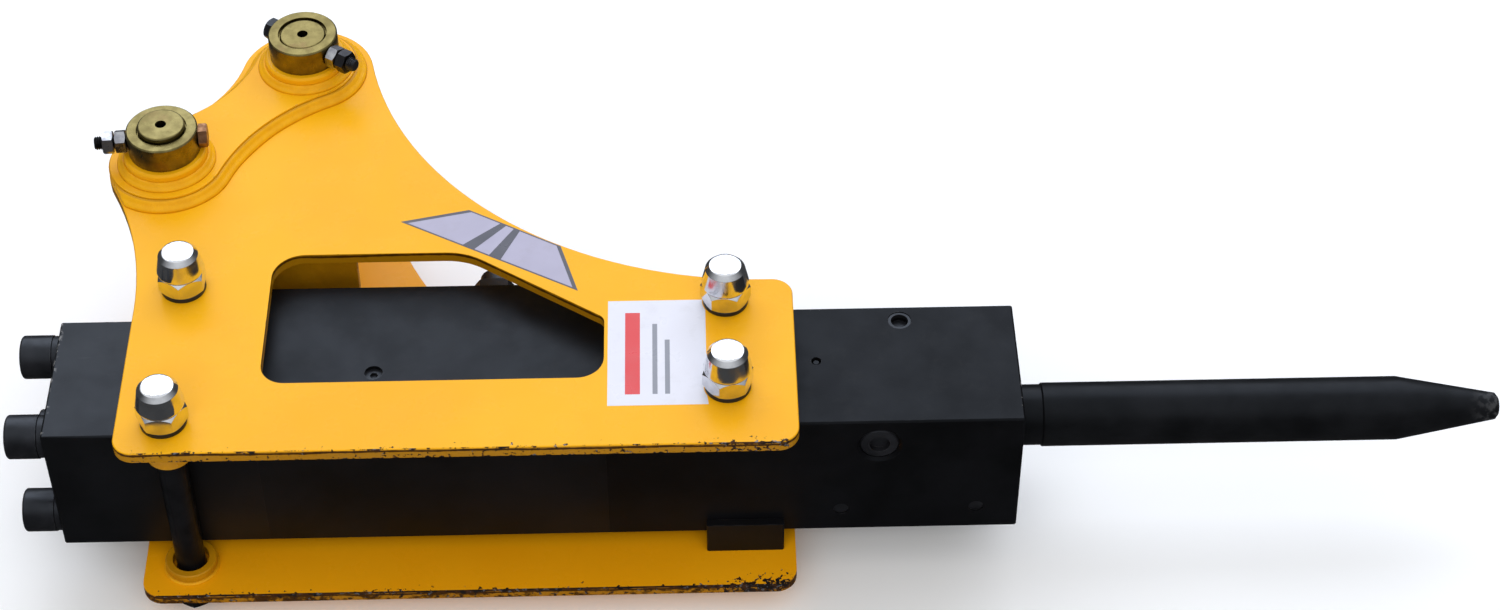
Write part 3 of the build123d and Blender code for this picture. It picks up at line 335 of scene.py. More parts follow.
def rim_chips(g):
    """Paint chipped off the upper edges of the back head's rear rim and the front head's front rim."""
    x, y, z = g.axes()
    low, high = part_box("back_head")
    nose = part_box("front_head")[1]
    flakes = g.noise(170.0, 5.0, 0.62)
    upper = g.span(z, high.z - 5 * MM, high.z - 2 * MM)
    rear = g.span(g.calc("SUBTRACT", x, low.x), 4.5 * MM, 1.0 * MM)
    far = g.span(y, high.y - 95 * MM, high.y - 5 * MM, 0.0, 0.06)
    rear = g.times(rear, g.span(g.calc("ADD", flakes, far), 0.58, 0.63))
    front = g.span(g.calc("SUBTRACT", nose.x, x), 2.4 * MM, 0.8 * MM)
    front = g.times(front, g.span(flakes, 0.62, 0.66))
    return g.times(upper, g.calc("MAXIMUM", rear, front))


def black_paint(name="black_enamel", specular=0.22, gloss=(0.34, 0.48), base=0.0028):
    """Semi-gloss enamel with a fine texture, dust on its upper faces and rubbed edges."""
    g = Graph(name)
    light = rgb(base * 1.9, base * 1.9, base * 2.3)
    colour = g.blend(g.span(g.noise(16.0, 4.0), NOISE_LOW, NOISE_HIGH), grey(base, 1.12), light)
    upward = g.span(g.axes(g.normal)[2], 0.4, 0.9, 0.12, 1.0)
    dust = g.times(g.span(g.noise(70.0, 6.0, 0.7), 0.5, 0.8), g.times(upward, 0.035))
    colour = g.blend(dust, colour, rgb(0.12, 0.11, 0.10))
    scuffs = g.span(g.noise(3.0, 5.0, 0.7, g.stretched((14.0, 90.0, 90.0))), 0.66, 0.74)
    colour = g.blend(g.times(scuffs, upward, 0.12), colour, rgb(0.06, 0.06, 0.065))
    rubbed = g.times(g.edges(1.0 * MM, 0.02, 0.2), g.span(g.noise(110.0, 4.0, 0.65), 0.50, 0.62), upward)
    colour = g.blend(g.times(rubbed, 0.6), colour, grey(0.12))
    colour = g.blend(rim_chips(g), colour, rgb(0.20, 0.195, 0.19))
    roughness = g.span(g.noise(28.0, 4.0), NOISE_LOW, NOISE_HIGH, *gloss)
    fine = g.bump(g.noise(700.0, 2.0), 0.14, 0.12 * MM)
    swells = g.bump(g.noise(45.0, 2.0), 0.10, 0.6 * MM, fine)
    return g.shader(colour, roughness, g.times(rubbed, 0.4), swells, specular, COOL_TINT)


def black_oxide(name="black_oxide_steel", specular=0.40, base=0.006):
    """Blackened steel under a film of oil."""
    g = Graph(name)
    light = rgb(base * 2.2, base * 2.2, base * 2.6)
    colour = g.blend(g.span(g.noise(55.0, 4.0), NOISE_LOW, NOISE_HIGH), grey(base, 1.2), light)
    rubbed = g.times(g.edges(0.7 * MM, 0.03, 0.25), g.span(g.noise(170.0, 3.0), 0.44, 0.6))
    colour = g.blend(g.times(rubbed, 0.6), colour, rgb(0.20, 0.20, 0.21))
    rough = g.span(g.noise(120.0, 3.0), NOISE_LOW, NOISE_HIGH, 0.30, 0.46)
    pits = g.bump(g.noise(600.0, 3.0), 0.15, 0.1 * MM)
    return g.shader(colour, rough, g.times(rubbed, 0.6), pits, specular, COOL_TINT)


def tool_steel():
    """The chisel: oiled dark steel with faint turning marks round its axis and a worn tip."""
    g = Graph("tool_steel")
    tone = g.span(g.noise(22.0, 4.0), NOISE_LOW, NOISE_HIGH)
    colour = g.blend(tone, rgb(0.0035, 0.0037, 0.0042), rgb(0.0075, 0.0078, 0.009))
    tip = g.span(g.axes()[0], CAD_BOX[1].x - 30 * MM, CAD_BOX[1].x)
    worn = g.times(tip, g.span(g.noise(150.0, 4.0), 0.45, 0.6))
    colour = g.blend(g.times(worn, 0.35), colour, rgb(0.12, 0.12, 0.125))
    rough = g.span(g.noise(35.0, 3.0), NOISE_LOW, NOISE_HIGH, 0.30, 0.44)
    turns = g.bump(g.noise(1.0, 2.0, 0.5, g.stretched((900.0, 6.0, 6.0))), 0.10, 0.1 * MM)
    grain = g.bump(g.noise(500.0, 2.0), 0.08, 0.1 * MM, turns)
    return g.shader(colour, rough, 0.0, grain, 0.13, COOL_TINT)


def chrome_plate():
    """Bright plating with hairline handling marks."""
    g = Graph("bright_chrome")
    smudge = g.span(g.noise(90.0, 4.0), 0.35, 0.7)
    colour = g.blend(smudge, rgb(0.78, 0.79, 0.81), rgb(0.64, 0.65, 0.68))
    scratches = g.noise(1.0, 4.0, 0.6, g.stretched((2500.0, 400.0, 900.0)))
    ripple = g.bump(scratches, 0.05, 0.05 * MM)
    waves = g.bump(g.noise(130.0, 2.0), 0.10, 0.3 * MM, ripple)
    return g.shader(colour, g.span(smudge, 0.0, 1.0, 0.09, 0.20), 1.0, waves)


def zinc_plate():
    """White zinc on the lock nuts and small fittings; the arm bolt's outer nut is dark."""
    g = Graph("white_zinc")
    tone = g.span(g.noise(160.0, 4.0), NOISE_LOW, NOISE_HIGH)
    colour = g.blend(tone, rgb(0.50, 0.51, 0.53), rgb(0.30, 0.30, 0.33))
    away = g.distance_from(ARM)
    outer_nut = g.times(g.span(away, 40.4 * MM, 40.8 * MM), g.span(away, 66 * MM, 62 * MM))
    colour = g.blend(outer_nut, colour, rgb(0.045, 0.045, 0.05))
    grain = g.bump(g.noise(900.0, 3.0), 0.2, 0.05 * MM)
    return g.shader(colour, g.span(tone, 0.0, 1.0, 0.24, 0.40), 1.0, grain)


def turned_zinc(name, centre, light, dark):
    """Yellow passivated zinc with lathe rings about a pin axis and a patchy sheen."""
    g = Graph(name)
    rings = g.calc("SINE", g.times(g.distance_from(centre), 2 * math.pi / (0.7 * MM)))
    colour = g.blend(g.span(g.noise(75.0, 5.0, 0.6), 0.32, 0.68), light, dark)
    bloom = g.span(g.noise(38.0, 3.0), 0.55, 0.7)
    colour = g.blend(g.times(bloom, 0.35), colour, rgb(0.24, 0.14, 0.07))
    stain = g.span(g.noise(240.0, 5.0, 0.65), 0.62, 0.72)
    colour = g.blend(g.times(stain, 0.5), colour, rgb(0.12, 0.08, 0.03))
    rough = g.span(g.noise(120.0, 3.0), NOISE_LOW, NOISE_HIGH, 0.24, 0.42)
    lathe = g.bump(rings, 0.10, 0.05 * MM)
    grain = g.bump(g.noise(700.0, 3.0), 0.15, 0.05 * MM, lathe)
    return g.shader(colour, rough, 1.0, grain)


def copper_zinc():
    """Brown passivated bolt head, its threaded end blackened."""
    g = Graph("brown_zinc")
    tone = g.span(g.noise(140.0, 5.0), NOISE_LOW, NOISE_HIGH)
    colour = g.blend(tone, rgb(0.36, 0.19, 0.10), rgb(0.16, 0.075, 0.035))
    threaded = g.span(g.axes()[0], LINK.x - 24 * MM, LINK.x - 28 * MM)
    colour = g.blend(threaded, colour, rgb(0.020, 0.020, 0.022))
    grain = g.bump(g.noise(600.0, 3.0), 0.25, 0.08 * MM)
    return g.shader(colour, g.span(tone, 0.0, 1.0, 0.32, 0.52), 0.85, grain)


def bronze():
    """Turned bushes, the lathe marks running round the pins."""
    g = Graph("turned_bronze")
    tone = g.span(g.noise(80.0, 4.0), NOISE_LOW, NOISE_HIGH)
    colour = g.blend(tone, rgb(0.52, 0.34, 0.14), rgb(0.40, 0.25, 0.10))
    marks = g.bump(g.noise(1.0, 2.0, 0.5, g.stretched((700.0, 60.0, 700.0))), 0.15, 0.08 * MM)
    return g.shader(colour, g.span(tone, 0.0, 1.0, 0.25, 0.4), 1.0, marks)


def ground_steel():
    """Piston and valve parts, finely ground along their length."""
    g = Graph("ground_steel")
    tone = g.span(g.noise(50.0, 3.0), NOISE_LOW, NOISE_HIGH)
    colour = g.blend(tone, rgb(0.56, 0.56, 0.57), rgb(0.44, 0.44, 0.46))
    marks = g.bump(g.noise(1.0, 2.0, 0.5, g.stretched((1200.0, 30.0, 30.0))), 0.12, 0.05 * MM)
    return g.shader(colour, g.span(tone, 0.0, 1.0, 0.18, 0.3), 1.0, marks)


def seal_rubber():
    """Dull moulded rubber."""
    g = Graph("seal_rubber")
    tone = g.span(g.noise(120.0, 4.0), NOISE_LOW, NOISE_HIGH)
    colour = g.blend(tone, grey(0.018), rgb(0.035, 0.034, 0.033))
    skin = g.bump(g.noise(800.0, 3.0), 0.2, 0.08 * MM)
    return g.shader(colour, g.span(tone, 0.0, 1.0, 0.55, 0.75), 0.0, skin)


def film(name, colour, dirt=0.08, gloss=0.32, metallic=0.0):
    """Printed vinyl: nearly flat colour, faint ripples and a little dirt."""
    g = Graph(name)
    amount = g.times(g.span(g.noise(60.0, 5.0, 0.65), 0.5, 0.75), dirt)
    shade = g.blend(amount, colour, rgb(0.20, 0.18, 0.15))
    ripple = g.bump(g.noise(110.0, 2.0), 0.08, 0.3 * MM)
    rough = g.span(g.noise(50.0, 3.0), NOISE_LOW, NOISE_HIGH, gloss - 0.06, gloss + 0.08)
    return g.shader(shade, rough, metallic, ripple)


def floor_paint():
    """Plain pale studio floor."""
    g = Graph("pale_floor")
    colour = g.blend(g.span(g.noise(2.5, 4.0), NOISE_LOW, NOISE_HIGH), grey(0.96), rgb(0.945, 0.945, 0.95))
    grain = g.bump(g.noise(260.0, 3.0), 0.05, 0.3 * MM)
    return g.shader(colour, 0.65, 0.0, grain, 0.3)


YELLOW = yellow_paint()
WELD = weld_paint()
SLOT_MATERIALS = {
    "yellow_paint": YELLOW,
    "bush_bronze": bronze(),
    "black_paint": black_paint(),
    "black_oxide": black_oxide(),
    "chrome_plate": chrome_plate(),
    "zinc_plate": zinc_plate(),
    "copper_zinc": copper_zinc(),
    "yellow_zinc": turned_zinc("yellow_zinc_arm", ARM, rgb(0.235, 0.190, 0.070), rgb(0.150, 0.120, 0.042)),
    "tool_steel": tool_steel(),
    "ground_steel": ground_steel(),
    "seal_rubber": seal_rubber(),
}
LINK_ZINC = turned_zinc("yellow_zinc_link", LINK, rgb(0.260, 0.215, 0.085), rgb(0.160, 0.130, 0.048))
NODE_MATERIALS = {
    # Painted light and shade: the front head's copy of the black enamel has a darker base and a weaker, rougher
    # reflection, so it reads darker. The back head's copy has a stronger reflection, so it reads lighter.
    "front_head": black_paint("black_enamel_front", 0.14, (0.36, 0.50), 0.0024),
    "back_head": black_paint("black_enamel_back", 0.31, (0.34, 0.46), 0.0026),
    "side_bolts": black_oxide("black_oxide_long_bolts", 0.14, 0.003),
    "link_pin": LINK_ZINC,
    "link_pin_collar": LINK_ZINC,
}


# --- the CAD nodes ------------------------------------------------------------------
ROUNDING_MM = {"yellow_paint": 0.6, "black_paint": 0.5, "black_oxide": 0.35, "chrome_plate": 0.4,
               "tool_steel": 0.5}
USUAL_ROUNDING_MM = 0.2
SHARP_DEGREES = 38
CHROME_SHARP_DEGREES = 20
NOT_ROUNDED = {"side_bolts"}


def finish_cad(node, material, round_mm, from_degrees):
    """Give a CAD node its material and a fine rounding on edges sharper than the given angle."""
    ob = CAD[node]
    ob.data.materials.clear()
    ob.data.materials.append(material)
    weld = ob.modifiers.new("join_seams", "WELD")
    weld.merge_threshold = 0.02 * MM
    if round_mm:
        bevel = ob.modifiers.new("edge_round", "BEVEL")
        bevel.width = round_mm * MM
        bevel.segments = 2
        bevel.limit_method = "ANGLE"
        bevel.angle_limit = math.radians(from_degrees)
        bevel.harden_normals = True
        bevel.use_clamp_overlap = True
    flats = ob.modifiers.new("flat_faces", "WEIGHTED_NORMAL")
    flats.mode = "FACE_AREA"
    flats.weight = 80
    for polygon in ob.data.polygons:
        polygon.use_smooth = True


for entry in frame["record"]["subparts"]:
    cad_node, cad_slot = entry["node"], entry["material_slot"]
    finish_cad(cad_node, NODE_MATERIALS.get(cad_node, SLOT_MATERIALS[cad_slot]),
               0 if cad_node in NOT_ROUNDED else ROUNDING_MM.get(cad_slot, USUAL_ROUNDING_MM),
               CHROME_SHARP_DEGREES if cad_slot == "chrome_plate" else SHARP_DEGREES)


# --- meshes -------------------------------------------------------------------------
def new_piece(name, vertices, faces, material, body, smooth=True):
    """A mesh object that rides on a body."""
    mesh = bpy.data.meshes.new(name)
    mesh.from_pydata(vertices, [], faces)
    mesh.materials.append(material)
    bm = bmesh.new()
    bm.from_mesh(mesh)
    bmesh.ops.recalc_face_normals(bm, faces=bm.faces)
    bm.to_mesh(mesh)
    bm.free()
    for polygon in mesh.polygons:
        polygon.use_smooth = smooth
    ob = bpy.data.objects.new(name, mesh)
    bpy.context.scene.collection.objects.link(ob)
    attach(ob, body)
    return ob


def skin(rings, around, base=0, joined=False):
    """Quads between rings of points numbered from base, the last ring joined to the first if joined."""
    faces = []
    for i in range(rings if joined else rings - 1):
        j = (i + 1) % rings
        for k in range(around):
            m = (k + 1) % around
            corners = (i * around + k, i * around + m, j * around + m, j * around + k)
            faces.append(tuple(base + corner for corner in corners))
    return faces


def end_caps(rings, around, base=0):
    """Faces that close the first and the last ring."""
    last = base + (rings - 1) * around
    return [tuple(base + k for k in range(around)), tuple(last + k for k in reversed(range(around)))]


def sides(line):
    """Pairs of neighbouring points round a closed line."""
    return zip(line, line[1:] + line[:1])


def resample(loop, step):
    """Evenly spaced points round a closed line of 2-D points."""
    points = loop + loop[:1]
    lengths = [(b - a).length for a, b in zip(points, points[1:])]
    total = sum(lengths)
    count = max(8, round(total / step))
    result = []
    segment = 0
    passed = 0.0
    for i in range(count):
        target = total * i / count
        while segment < len(lengths) - 1 and passed + lengths[segment] < target:
            passed += lengths[segment]
            segment += 1
        share = (target - passed) / max(lengths[segment], 1e-9)
        result.append(points[segment].lerp(points[segment + 1], min(1.0, share)))
    return result


def gap_to(point, line):
    """Distance of a 2-D point from a closed line."""
    nearest = 1.0
    for a, b in sides(line):
        side = b - a
        share = max(0.0, min(1.0, (point - a).dot(side) / max(side.length_squared, 1e-12)))
        nearest = min(nearest, (point - a - side * share).length)
    return nearest


BEAD_SPACING = 0.55 * MM
BEAD_STEPS = 7
BEAD_ROOT = 0.4 * MM
BEAD_RIPPLE = 2.3 * MM
BEAD_CRESCENT = 1.5 * MM
BEAD_SWELLS = (9 * MM, 23 * MM, 41 * MM)
RIM_MARGIN = 0.3 * MM


def weld_bead(name, loop, leg, base_z, up, outward, seed, rim=None):
    """Fillet bead round a line: its foot on the plate at base_z, its upright on the wall, with ripples.

    rim is the plate's outline, which the foot keeps to.
    """
    rng = random.Random(seed)
    points = resample(loop, BEAD_SPACING)
    count = len(points)
    phase = [rng.uniform(0, 2 * math.pi) for _ in BEAD_SWELLS]
    vertices = []
    travelled = 0.0
    for i, point in enumerate(points):
        along = (points[(i + 1) % count] - points[i - 1]).normalized()
        side = Vector((along.y, -along.x)) * outward
        if i:
            travelled += (point - points[i - 1]).length
        swell = sum(math.sin(travelled / length + p) for length, p in zip(BEAD_SWELLS, phase)) / len(phase)
        size = leg * (1 + 0.05 * swell)
        room = gap_to(point, rim) + RIM_MARGIN if rim else 1.0
        vertices.append((*(point - side * BEAD_ROOT), base_z - up * BEAD_ROOT))
        for k in range(BEAD_STEPS + 1):
            angle = math.pi / 2 * k / BEAD_STEPS
            crescent = travelled - BEAD_CRESCENT * math.sin(2 * angle)
            ripple = 0.5 + 0.5 * math.cos(2 * math.pi * crescent / BEAD_RIPPLE)
            reach = size * (0.74 + 0.012 * ripple + 0.26 * abs(math.cos(2 * angle)) ** 1.6)
            out = point + side * min(reach * math.cos(angle), room)
            vertices.append((*out, base_z + up * reach * math.sin(angle)))
    faces = skin(count, BEAD_STEPS + 2, joined=True)
    return new_piece(name, vertices, faces, WELD, "hammer")


def outline(node, level):
    """The longest closed line of the node's flat face at height level."""
    bm = bmesh.new()
    bm.from_mesh(CAD[node].data)
    bmesh.ops.remove_doubles(bm, verts=bm.verts, dist=0.01 * MM)
    flat = {f for f in bm.faces if all(abs(v.co.z - level) < 0.05 * MM for v in f.verts)}
    links = {}
    for e in bm.edges:
        if sum(f in flat for f in e.link_faces) == 1:
            a, b = e.verts
            links.setdefault(a, []).append(b)
            links.setdefault(b, []).append(a)
    loops = []
    seen = set()
    for start in links:
        if start in seen:
            continue
        loop = []
        following = [start]
        while following:
            loop.append(following[0])
            seen.add(following[0])
            following = [v for v in links[loop[-1]] if v not in seen]
        loops.append([Vector((v.co.x, v.co.y)) for v in loop])
    bm.free()
    return max(loops, key=lambda line: sum((b - a).length for a, b in sides(line)))


def turn_direction(loop):
    """1 if the loop runs anticlockwise, so that its outside is on the right of travel."""
    area = sum(a.x * b.y - b.x * a.y for a, b in sides(loop))
    return 1 if area > 0 else -1


def circle(centre, radius, count=160):
    """Points round a circle, anticlockwise."""
    angles = [2 * math.pi * i / count for i in range(count)]
    return [Vector((centre.x + radius * math.cos(a), centre.y + radius * math.sin(a))) for a in angles]


def rectangle(x0, y0, x1, y1):
    """Corners of a rectangle, anticlockwise."""
    return [(x0, y0), (x1, y0), (x1, y1), (x0, y1)]


DOUBLER_LEG = 8.5 * MM
BOSS_LEG = 6.5 * MM
SPACER_LEG = 1.8 * MM
RIB_LEG = 6.0 * MM
UPPER_SPACER_RADIUS = 18.5 * MM


def add_welds():
    """Beads round the doublers, the pin bosses, the rear bolt rings and the cross rib."""
    plate_top = PLATE_HIGH.z
    for side, level, up, seed in (("upper", plate_top, 1, 3), ("lower", -plate_top, -1, 5)):
        loop = outline("doubler_" + side, level)
        rim = outline("side_plate_" + side, level)
        weld_bead("weld_doubler_" + side, loop, DOUBLER_LEG, level, up, turn_direction(loop), seed, rim)

    doubler_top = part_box("doubler_upper")[1].z
    ring_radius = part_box("pin_boss_rings")[1].x - ARM.x
    for name, centre, seed in (("arm", ARM, 11), ("link", LINK, 12)):
        weld_bead("weld_boss_" + name, circle(centre, ring_radius), BOSS_LEG, doubler_top, 1, 1, seed)

    inner_faces = (("upper", PLATE_LOW.z, -1), ("lower", LOWER_HIGH.z, 1))
    low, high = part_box("rear_bolt_rings")
    lower_radius = (high.x - low.x) / 2
    spacer_radius = {"upper": UPPER_SPACER_RADIUS, "lower": lower_radius}
    for i, y in enumerate((low.y + lower_radius, high.y - lower_radius)):
        centre = Vector(((low.x + high.x) / 2, y))
        for side, level, up in inner_faces:
            ring = circle(centre, spacer_radius[side])
            weld_bead(f"weld_spacer_{side}_{i}", ring, SPACER_LEG, level, up, 1, 20 + i)

    low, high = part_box("cross_rib")
    foot = [Vector(corner) for corner in rectangle(low.x, low.y, high.x, high.y)]
    for side, level, up in inner_faces:
        weld_bead("weld_rib_" + side, foot, RIB_LEG, level, up, 1, 31)


add_welds()


# --- labels -------------------------------------------------------------------------
SHEET = 0.12 * MM
INK = 0.03 * MM
LABEL_LEFT, LABEL_RIGHT = 268.0 * MM, 348.5 * MM
LABEL_LOW, LABEL_HIGH = -410.0 * MM, -293.0 * MM
LABEL_FOOT = 12 * MM
BAND_LEFT, BAND_RIGHT, BAND_TOP = 14 * MM, 26 * MM, 14 * MM
BARS_MM = ((36, 78), (46, 60))
BAR_WIDTH = 4 * MM
STRIP_MM = ((93, -194), (243, -280), (228, -227), (150, -181))
STRIP_INNER = 0.93
STRIP_BANDS = (0.34, 0.50)
STRIP_BAND_WIDTH = 0.07
WASHER_RADIUS = 18.6 * MM
NOTCH_RADIUS = 19.3 * MM
FRONT_BOLT_OFFSET = 48 * MM
NOTCH_STEPS = 24


def slab(name, corners, level, thickness, material):
    """Thin plate with the given outline, its foot at height level."""
    count = len(corners)
    vertices = [(x, y, z) for z in (level, level + thickness) for x, y in corners]
    faces = [tuple(range(count)), tuple(range(count, 2 * count))] + skin(2, count)
    return new_piece(name, vertices, faces, material, "hammer", smooth=False)


def label_outline():
    """Rectangle whose right edge is cut out around the washers of the two front side bolts."""
    box_low, box_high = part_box("side_bolt_washers")
    centre_x = box_high.x - WASHER_RADIUS
    tool_y = (box_low.y + box_high.y) / 2
    points = [(LABEL_LEFT, LABEL_LOW), (LABEL_RIGHT, LABEL_LOW)]
    for centre_y in (tool_y - FRONT_BOLT_OFFSET, tool_y + FRONT_BOLT_OFFSET):
        for step in range(NOTCH_STEPS + 1):
            angle = math.pi * (1.5 - step / NOTCH_STEPS)
            x, y = centre_x + NOTCH_RADIUS * math.cos(angle), centre_y + NOTCH_RADIUS * math.sin(angle)
            if x < LABEL_RIGHT and LABEL_LOW < y < LABEL_HIGH:
                points.append((x, y))
    return points + [(points[-1][0], LABEL_HIGH), (LABEL_LEFT, LABEL_HIGH)]


def add_labels():
    """A plain label and a plain strip on the upper plate, both without lettering or marks."""
    white = film("label_white", rgb(0.66, 0.66, 0.73), 0.10)
    red = film("label_red", rgb(0.62, 0.03, 0.035))
    slate = film("label_grey", rgb(0.22, 0.23, 0.27))
    silver = film("strip_silver", rgb(0.33, 0.31, 0.40), 0.12, 0.34, 0.2)
    dark = film("strip_edge", rgb(0.05, 0.05, 0.07))
    top = PLATE_HIGH.z
    foot = LABEL_LOW + LABEL_FOOT
    slab("label_plain", label_outline(), top, SHEET, white)
    band = rectangle(LABEL_LEFT + BAND_LEFT, foot, LABEL_LEFT + BAND_RIGHT, LABEL_HIGH - BAND_TOP)
    slab("label_band", band, top + SHEET, INK, red)
    for i, (start, length) in enumerate(BARS_MM):
        x = LABEL_LEFT + start * MM
        slab(f"label_bar_{i}", rectangle(x, foot, x + BAR_WIDTH, foot + length * MM), top + SHEET, INK, slate)

    strip = [Vector((x * MM, y * MM)) for x, y in STRIP_MM]
    centre = sum(strip, Vector((0, 0))) / len(strip)
    inner = [centre + (p - centre) * STRIP_INNER for p in strip]
    slab("strip_border", strip, top, SHEET, dark)
    slab("strip_face", inner, top + SHEET, INK, silver)
    for i, share in enumerate(STRIP_BANDS):
        end = share + STRIP_BAND_WIDTH
        band = [inner[0].lerp(inner[1], share), inner[0].lerp(inner[1], end),
                inner[3].lerp(inner[2], end), inner[3].lerp(inner[2], share)]
        slab(f"strip_band_{i}", band, top + SHEET + INK, INK, dark)


add_labels()


# --- lock bolts with real threads ---------------------------------------------------
THREAD_RADIUS = 5.95 * MM
THREAD_DEPTH = 0.95 * MM
THREAD_PITCH = 1.75 * MM
THREAD_START = 29.0 * MM
THREAD_AROUND = 40
LEVELS_PER_TURN = 7
BOLT_TIP = 57.4 * MM
TIP_CHAMFER = 1.6 * MM
TIP_TRIM = 1.4 * MM
HEAD_BASE = -30.2 * MM
HEAD_HEIGHT = 7.5 * MM
HEAD_FLATS = 18.0 * MM
HEAD_CHAMFER = 1.2 * MM
HEAD_TRIM = 1.3 * MM
HEAD_AROUND = 24


def bolt_placement(name, centre):
    """Matrix from the bolt's own frame, Z towards its tip, to the object's frame."""
    low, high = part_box(name)
    middle = Vector((centre.x, centre.y, (low.z + high.z) / 2))
    axis = Vector((centre.x, centre.y))
    reaches = [((v.co.xy - axis).length, v.co.xy) for v in CAD[name].data.vertices]
    longest = max(reach for reach, _ in reaches)
    ends = [place for reach, place in reaches if reach > longest - 1.5 * MM]
    pointing = sum(ends, Vector((0, 0))) / len(ends) - axis
    heading = Matrix.Rotation(math.atan2(pointing.y, pointing.x), 4, "Z")
    return Matrix.Translation(middle) @ heading @ Matrix.Rotation(math.pi / 2, 4, "Y")


def thread_points(levels):
    """Rings of points up a cut thread, which runs out at the bolt's tip."""
    points = []
    for i in range(levels + 1):
        along = THREAD_START + (BOLT_TIP - THREAD_START) * i / levels
        full = min(1.0, (BOLT_TIP - along) / TIP_CHAMFER)
        for k in range(THREAD_AROUND):
            angle = 2 * math.pi * k / THREAD_AROUND
            groove = abs((along / THREAD_PITCH - k / THREAD_AROUND) % 1.0 - 0.5) * 2
            cut = max(THREAD_DEPTH * min(1.0, groove * 1.25), (1 - full) * TIP_TRIM)
            r = THREAD_RADIUS - cut
            points.append((r * math.cos(angle), r * math.sin(angle), along))
    return points


def head_points(profile):
    """Rings of points round a hexagon head, its corners trimmed as the profile says."""
    sixth = math.pi / 3
    points = []
    for along, trim in profile:
        for k in range(HEAD_AROUND):
            angle = 2 * math.pi * k / HEAD_AROUND
            flat = (HEAD_FLATS / 2) / math.cos((angle + sixth / 2) % sixth - sixth / 2)
            r = min(flat, HEAD_FLATS / math.sqrt(3) - trim)
            points.append((r * math.cos(angle), r * math.sin(angle), along))
    return points


def lock_bolt(name, centre, material, body):
    """Hexagon bolt: its head outside the collar on one side and a cut thread beyond it on the other."""
    levels = int((BOLT_TIP - THREAD_START) / (THREAD_PITCH / LEVELS_PER_TURN))
    head_top = HEAD_BASE - HEAD_HEIGHT
    profile = [(HEAD_BASE, 0.0), (head_top + HEAD_CHAMFER, 0.0), (head_top, HEAD_TRIM)]
    vertices = thread_points(levels)
    base = len(vertices)
    vertices += head_points(profile)
    faces = skin(levels + 1, THREAD_AROUND) + end_caps(levels + 1, THREAD_AROUND)
    faces += skin(len(profile), HEAD_AROUND, base) + end_caps(len(profile), HEAD_AROUND, base)
    turn = bolt_placement(name, centre)
    placed = [tuple(turn @ Vector(v)) for v in vertices]
    bolt = new_piece(name + "_threaded", placed, faces, material, body)
    split = bolt.modifiers.new("crisp", "EDGE_SPLIT")
    split.split_angle = math.radians(32)
    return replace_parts(bolt, name)


lock_bolt("arm_lock_bolt", ARM, SLOT_MATERIALS["black_oxide"], "arm_pin_body")
lock_bolt("link_lock_bolt", LINK, SLOT_MATERIALS["copper_zinc"], "link_pin_body")


# --- floor, light and camera --------------------------------------------------------
FLOOR_HALF = 7.0
LIT_POINT = (0.35, -0.2, 0.0)
HORIZON, ZENITH = (0.20, 0.06), (0.85, 0.95)  # height in the sky and brightness
CAMERA_PLACE = (0.3375, -2.0416, 1.8420)
CAMERA_AZIMUTH, CAMERA_ELEVATION, CAMERA_ROLL = (math.radians(angle) for angle in (-1.53, 45.13, 0.04))


def add_floor():
    """Plain floor under the object, not mirrored in it."""
    mesh = bpy.data.meshes.new("floor")
    corners = rectangle(-FLOOR_HALF, -FLOOR_HALF, FLOOR_HALF, FLOOR_HALF)
    mesh.from_pydata([(x, y, FLOOR_Z) for x, y in corners], [], [(0, 1, 2, 3)])
    mesh.materials.append(floor_paint())
    floor = bpy.data.objects.new("floor", mesh)
    bpy.context.scene.collection.objects.link(floor)
    floor.visible_glossy = False


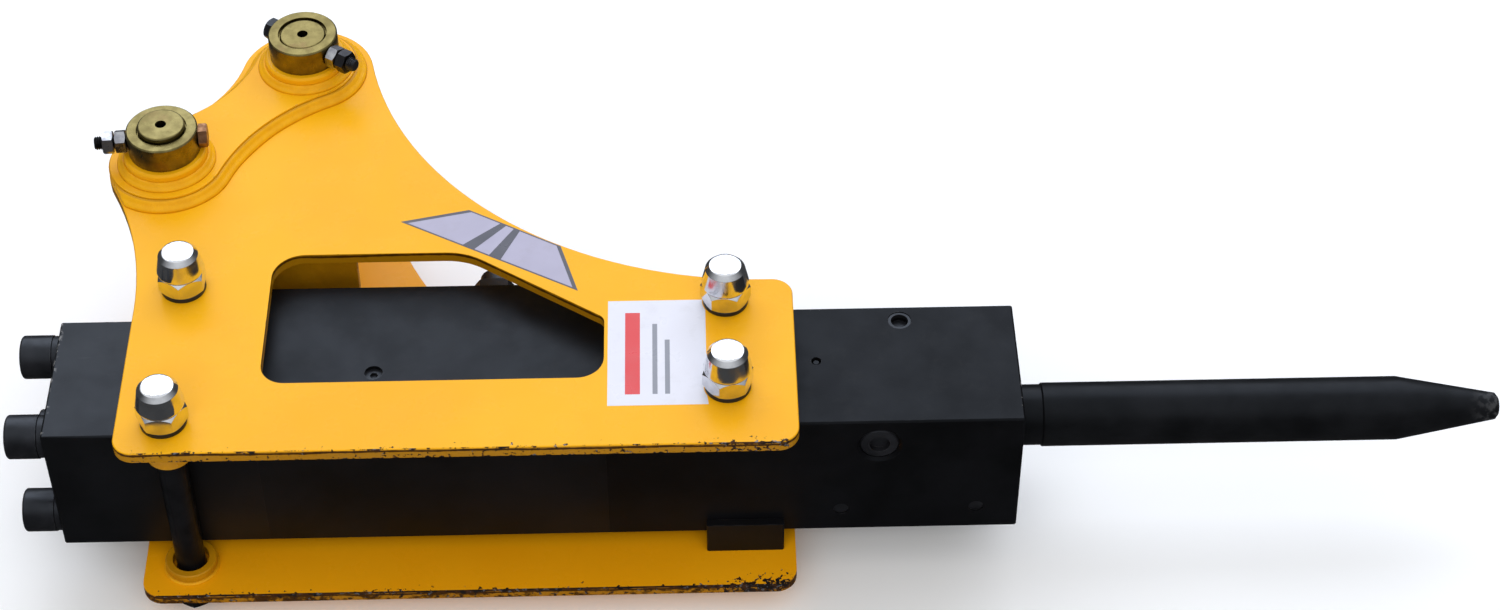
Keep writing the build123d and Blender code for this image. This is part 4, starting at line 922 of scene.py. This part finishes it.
def add_light(name, place, size, power, colour, mirrored=True):
    """Soft panel that faces the object."""
    lamp = bpy.data.lights.new(name, "AREA")
    lamp.shape = "RECTANGLE"
    lamp.size, lamp.size_y = size
    lamp.energy = power
    lamp.color = colour
    ob = bpy.data.objects.new(name, lamp)
    ob.location = place
    ob.visible_glossy = mirrored
    ob.rotation_euler = (Vector(LIT_POINT) - Vector(place)).to_track_quat("-Z", "Y").to_euler()
    bpy.context.scene.collection.objects.link(ob)


def add_world():
    """Dim surround with a dark horizon and a bright zenith."""
    world = bpy.data.worlds.new("studio")
    world.use_nodes = True
    tree = world.node_tree
    place = tree.nodes.new("ShaderNodeTexCoord")
    axes = tree.nodes.new("ShaderNodeSeparateXYZ")
    rise = tree.nodes.new("ShaderNodeMapRange")
    rise.interpolation_type = "SMOOTHSTEP"
    for end, (height, brightness) in (("Min", HORIZON), ("Max", ZENITH)):
        rise.inputs["From " + end].default_value = height
        rise.inputs["To " + end].default_value = brightness
    background = tree.nodes["Background"]
    tree.links.new(place.outputs["Generated"], axes.inputs[0])
    tree.links.new(axes.outputs["Z"], rise.inputs["Value"])
    tree.links.new(rise.outputs[0], background.inputs["Strength"])
    background.inputs["Color"].default_value = rgb(0.95, 0.97, 1.0)
    bpy.context.scene.world = world


def add_camera():
    """Seen from above and slightly to the left, 45 degrees down, as in a catalogue view."""
    data = bpy.data.cameras.new("camera")
    data.sensor_width = 36.0
    data.lens = 72.46
    data.clip_end = 50.0
    camera = bpy.data.objects.new("camera", data)
    level = math.cos(CAMERA_ELEVATION)
    back = Vector((math.sin(CAMERA_AZIMUTH) * level, -math.cos(CAMERA_AZIMUTH) * level,
                   math.sin(CAMERA_ELEVATION)))
    look = (-back).to_track_quat("-Z", "Y").to_matrix().to_4x4()
    roll = Matrix.Rotation(CAMERA_ROLL, 4, "Z")
    camera.matrix_world = Matrix.Translation(Vector(CAMERA_PLACE)) @ look @ roll
    bpy.context.scene.collection.objects.link(camera)
    bpy.context.scene.camera = camera


add_floor()
add_world()
add_light("back_sky", (0.40, 2.35, 2.55), (6.0, 3.6), 118, (0.88, 0.95, 1.08))
add_light("front_fill", (0.30, -3.2, 2.2), (4.5, 2.4), 60, (1.0, 0.97, 0.92), mirrored=False)
add_camera()
bpy.context.scene.view_settings.view_transform = "Standard"
